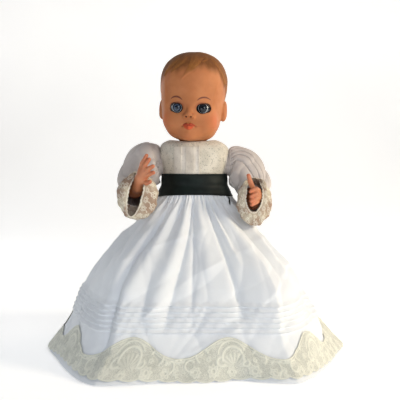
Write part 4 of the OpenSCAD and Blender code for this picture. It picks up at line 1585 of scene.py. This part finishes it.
def make_tail(side, material):
    name = SIDE_NAME[side]
    low, high = node_box("sash_tail_" + name)
    t = row_shares(110)
    w = across_shares(31)
    z = lerp(high[2] + 2, low[2], t)
    notch = 9 * np.abs(w) * smooth_step(t, 0.85, 1) - 4 * smooth_step(t, 0.85, 1)
    z = z - notch
    half = lerp(4.5, (high[0] - low[0]) / 2 - 0.5, smooth_step(t, 0.0, 0.25))
    x = side * 13.5 + side * 3 * t + half * w
    radius = np.interp(z, *SKIRT_OUTLINE)
    for _ in range(4):
        turn = 180 - np.degrees(np.arcsin(x / radius))
        radius = skirt_radius(turn, z)
    lift = TAIL_LIFT + 1.3 * np.sin(t * 9 + side) * np.sin(w * 1.5 + 0.6 * side) + 0.8 * np.sin(t * 21)
    y = np.sqrt((radius + lift) ** 2 - x ** 2)
    tail = grid_piece("satin_tail_" + name, places(x, y, z), material, closed=False)
    thicken(tail, BOW_THICK)
    finish_piece(tail, "torso", "green_satin", "sash_tail_" + name)


# ---- Legs and bootees ----

LEG = (((33, 0, 188), 19), ((33, 0, 180), 22.5), ((33, -3, 140), 21.5), ((33, -4, 104), 19),
       ((33, 0, 66), 16.5), ((33, 2, 34), 13.5), ((33, 2, 22), 12.5))
FOOT = (((33, 11, 16), 12.5), ((33, -8, 15.5), 12.5), ((34, -26, 13.5), 11), ((34, -37, 11.5), 8))
SOLE_Z = 3.0
BOOTEE_TOP = 40.0
HIP_Z = 184.0
LEG_INNER = 16.6             # the thigh's flat inner side,
FLAT_ABOVE = 142             # which starts at this height
HIP_DISC = (24, LEG_INNER, 47)           # radius, inner and outer end
HIP_PIN = (9, 6, 33)
KNIT_THICK = 2.2


def leg_form(q):
    return blend_union(chain(q, LEG, 8), chain(q, FOOT, 6), 7)


def make_leg(side, skin, knit):
    name = SIDE_NAME[side]

    def leg_field(p):
        q = mirror_x(p)
        reach = np.hypot(q[..., 1], q[..., 2] - HIP_Z)
        d = blend_union(leg_form(q), drum(reach, q[..., 0], *HIP_DISC), 2)
        knee = np.abs(q[..., 2] - 88 - 0.2 * q[..., 1])
        d = d + 0.7 * bell(knee, 2.0) * (q[..., 1] > 0)
        d = np.where(q[..., 2] > FLAT_ABOVE, np.maximum(d, LEG_INNER - q[..., 0]), d)
        return np.maximum(np.minimum(d, drum(reach, q[..., 0], *HIP_PIN)), SOLE_Z - q[..., 2])

    def bootee_field(p):
        q = mirror_x(p)
        body = leg_form(q)
        rib = 0.35 * np.sin(q[..., 2] * 2.1) * (q[..., 2] > 22)
        cuff = 1.0 * bell(q[..., 2] - (BOOTEE_TOP - 3), 3)
        shell = np.maximum(body - KNIT_THICK - rib - cuff, -(body - 0.4))
        shell = np.maximum(shell, q[..., 2] - BOOTEE_TOP)
        return np.maximum(shell, SOLE_Z - KNIT_THICK - q[..., 2])
    step = 1.4
    low, high = node_box("leg_" + name)
    leg = field_piece("leg_" + name + "_moulded", leg_field, low - 3, high + 3, step, skin)
    paint(leg, "blush", np.zeros(len(leg.data.vertices)))
    finish_piece(leg, SIDE_NAME[side] + "_leg", "skin", "leg_" + name)
    low, high = node_box("bootee_" + name)
    boot = field_piece("bootee_" + name + "_knitted", bootee_field, low - 3, high + 3, step * 0.75, knit)
    finish_piece(boot, SIDE_NAME[side] + "_leg", "bootee_knit", "bootee_" + name)


def knit_finish():
    f = Finish("bootee_wool", 0.95, Sheen_Weight=0.3)
    f.colour(f.mottled(3, 3, (0.80, 0.76, 0.66), (0.68, 0.64, 0.55)))
    f.bump(f.add(f.weave(2.2), f.times(f.noise(0.8, 2), 0.4)), 0.5, 0.8)
    return f.material


# ---- Floor, light and camera ----

FLOOR_HALF = 4000
FLOOR_FRONT = -3000
BEND_FROM = 1500             # the floor starts to curve up here, behind the doll,
BEND_R = 900                 # with this radius
BACKDROP_TOP = 4200
CAMERA_PLACE = (0.0094, -1.36, 0.316)
CAMERA_DOWN = 2.86           # degrees below level
LIT_POINT = (0, 0, 0.25)
# Lamps: name, place and aim in metres, width, power and colour.
LAMPS = (
    ("key", (1.9, -0.75, 1.0), LIT_POINT, 0.7, 28, (1.0, 0.89, 0.70)),
    ("front", (0.7, -2.3, 0.9), LIT_POINT, 1.0, 14.5, (0.92, 0.96, 1.0)),
    ("low_left", (-1.1, -1.5, 0.12), (-0.1, 0, 0.05), 0.8, 6.0, (0.78, 0.90, 1.0)),
    ("top", (0.2, -0.2, 2.3), LIT_POINT, 1.2, 7, (0.97, 0.98, 1.0)),
    ("back_left", (-1.4, 1.2, 0.9), LIT_POINT, 1.2, 5, (0.9, 0.95, 1.0)),
    ("back_right", (1.5, 1.2, 0.9), LIT_POINT, 1.0, 9, (1.0, 0.86, 0.68)),
)


def make_stage():
    """A pale floor that curves up into the backdrop."""
    f = Finish("studio_paper", 0.9)
    f.colour(f.mottled(300, 2, (0.93, 0.93, 0.93), (0.9, 0.9, 0.905)))
    f.bump(f.noise(1.5, 2), 0.05, 0.2)
    f.set(Emission_Color=(1, 1, 1, 1), Emission_Strength=0.40)
    across = np.linspace(-FLOOR_HALF, FLOOR_HALF, 9)
    bend = [(FLOOR_FRONT, 0), (BEND_FROM, 0)]
    for a in np.linspace(0.1, math.pi / 2, 14):
        bend.append((BEND_FROM + BEND_R * math.sin(a), BEND_R * (1 - math.cos(a))))
    bend.append((BEND_FROM + BEND_R, BACKDROP_TOP))
    points = np.array([[(x, y, z) for x in across] for y, z in bend], float)
    floor = grid_piece("studio_floor", points, f.material, closed=False)


def area_light(name, place, aim, size, power, colour):
    light = bpy.data.lights.new(name, "AREA")
    light.shape = "DISK"
    light.size = size
    light.energy = power
    light.color = colour
    lamp = bpy.data.objects.new(name, light)
    lamp.location = place
    lamp.rotation_euler = (Vector(aim) - Vector(place)).to_track_quat("-Z", "Y").to_euler()
    bpy.context.scene.collection.objects.link(lamp)


def make_lights():
    for lamp in LAMPS:
        area_light(*lamp)
    world = bpy.data.worlds.new("studio")
    world.use_nodes = True
    background = world.node_tree.nodes["Background"]
    background.inputs["Color"].default_value = (0.93, 0.96, 1.0, 1)
    background.inputs["Strength"].default_value = 0.10
    bpy.context.scene.world = world


def make_camera():
    """Stands in front of the doll at the height of its neck and looks a little down."""
    camera = bpy.data.cameras.new("camera")
    camera.lens = 72
    camera.sensor_width = 36
    camera.clip_start = 0.01
    eye = bpy.data.objects.new("camera", camera)
    eye.location = CAMERA_PLACE
    eye.rotation_euler = (math.radians(90 - CAMERA_DOWN), 0, 0)
    bpy.context.scene.collection.objects.link(eye)
    bpy.context.scene.camera = eye


SKIRT_WHITE = white_cloth("skirt_cotton", (0.83, 0.85, 0.88), (0.78, 0.80, 0.84))
PETTICOAT_WHITE = white_cloth("petticoat_cotton", (0.82, 0.84, 0.88), (0.78, 0.8, 0.84))
LACE_CREAM = lace_cloth("hem_lace_thread", (0.74, 0.735, 0.65), (0.65, 0.65, 0.575))

make_stage()
make_lights()
make_camera()
make_skirt(SKIRT_WHITE)
make_hem_lace(LACE_CREAM)
make_petticoat(PETTICOAT_WHITE)
SKIN = skin_finish()
BROW = brow_paint()
EYE_WHITE = eye_white_finish()
IRIS = {
    RIGHT: iris_finish("iris_blue_grey", (0.006, 0.010, 0.022), (0.018, 0.030, 0.065),
                       (0.09, 0.12, 0.18), 0.8),
    # the doll's left iris is the same iris painted near-black: painted shade and missing reflection on that
    # eye
    LEFT: iris_finish("iris_blue_grey_shaded", (0.003, 0.004, 0.007), (0.008, 0.009, 0.014),
                      (0.03, 0.033, 0.045), 0.6),
}
LASH = plain_finish("lash_hair", 0.5, (0.012, 0.009, 0.008), (0.03, 0.018, 0.012), grain=1)
# the eyelids are painted dark brown: painted shade under the lashes
SHADED_LID = plain_finish("lid_vinyl_painted_shade", 0.45, (0.05, 0.02, 0.014), (0.09, 0.035, 0.022), grain=3)
make_head(SKIN)
for side in (LEFT, RIGHT):
    make_brow(side, BROW)
    make_eye(side, EYE_WHITE, IRIS[side])
    make_lashes(side, LASH)
    give(SHADED_LID, "eyelid_" + SIDE_NAME[side])

LIMB = limb_skin()
# the sleeves' white cotton is painted darker and mauve-grey: painted shade of the dimmer light on the upper
# gown
SLEEVE_SHADED_WHITE = white_cloth("sleeve_cotton_painted_shade", (0.60, 0.535, 0.50), (0.50, 0.44, 0.41))
CUFF_CREAM = lace_cloth("cuff_lace_thread", (0.62, 0.54, 0.41), (0.36, 0.24, 0.17), 0.9)
BODICE_CREAM = bodice_finish("bodice_eyelet", (0.72, 0.66, 0.56), (0.60, 0.55, 0.46), 0.7)
PANEL_CREAM = bodice_finish("bodice_pintucks", (0.78, 0.72, 0.64), (0.66, 0.60, 0.53), 0.25)
RUFFLE_NET = bodice_finish("ruffle_net", (0.60, 0.50, 0.40), (0.46, 0.36, 0.28), 0.5)
SATIN = satin_finish()
KNIT = knit_finish()
PEARL = plain_finish("pearl_button", 0.2, (0.82, 0.80, 0.76), (0.72, 0.70, 0.66), grain=2, relief=0.02)
BODY_PLASTIC = plain_finish("torso_plastic", 0.42, (0.62, 0.31, 0.17), (0.54, 0.26, 0.14), grain=12)
STEEL = plain_finish("eye_wire", 0.35, (0.55, 0.54, 0.52), (0.42, 0.40, 0.38), grain=3, metallic=1.0)
LEAD = plain_finish("lead_weight", 0.55, (0.20, 0.20, 0.21), (0.13, 0.13, 0.14), grain=3, metallic=0.8)

make_bodice(BODICE_CREAM, PANEL_CREAM)
make_ruffle(RUFFLE_NET)
make_sash(SATIN)
for side in (LEFT, RIGHT):
    make_bow_loop(side, SATIN)
make_bow_knot(SATIN)
for side in (LEFT, RIGHT):
    make_arm(side, LIMB)
    make_sleeve(side, SLEEVE_SHADED_WHITE)
    make_cuff(side, CUFF_CREAM)
    make_piping(side, PANEL_CREAM)
    make_tail(side, SATIN)
    make_leg(side, LIMB, KNIT)
give(PEARL, "back_buttons")
give(BODY_PLASTIC, "torso_front", "torso_back")
give(STEEL, "eye_rocker", "eye_bracket")
give(LEAD, "eye_weight")

bpy.context.scene.view_settings.view_transform = "Standard"
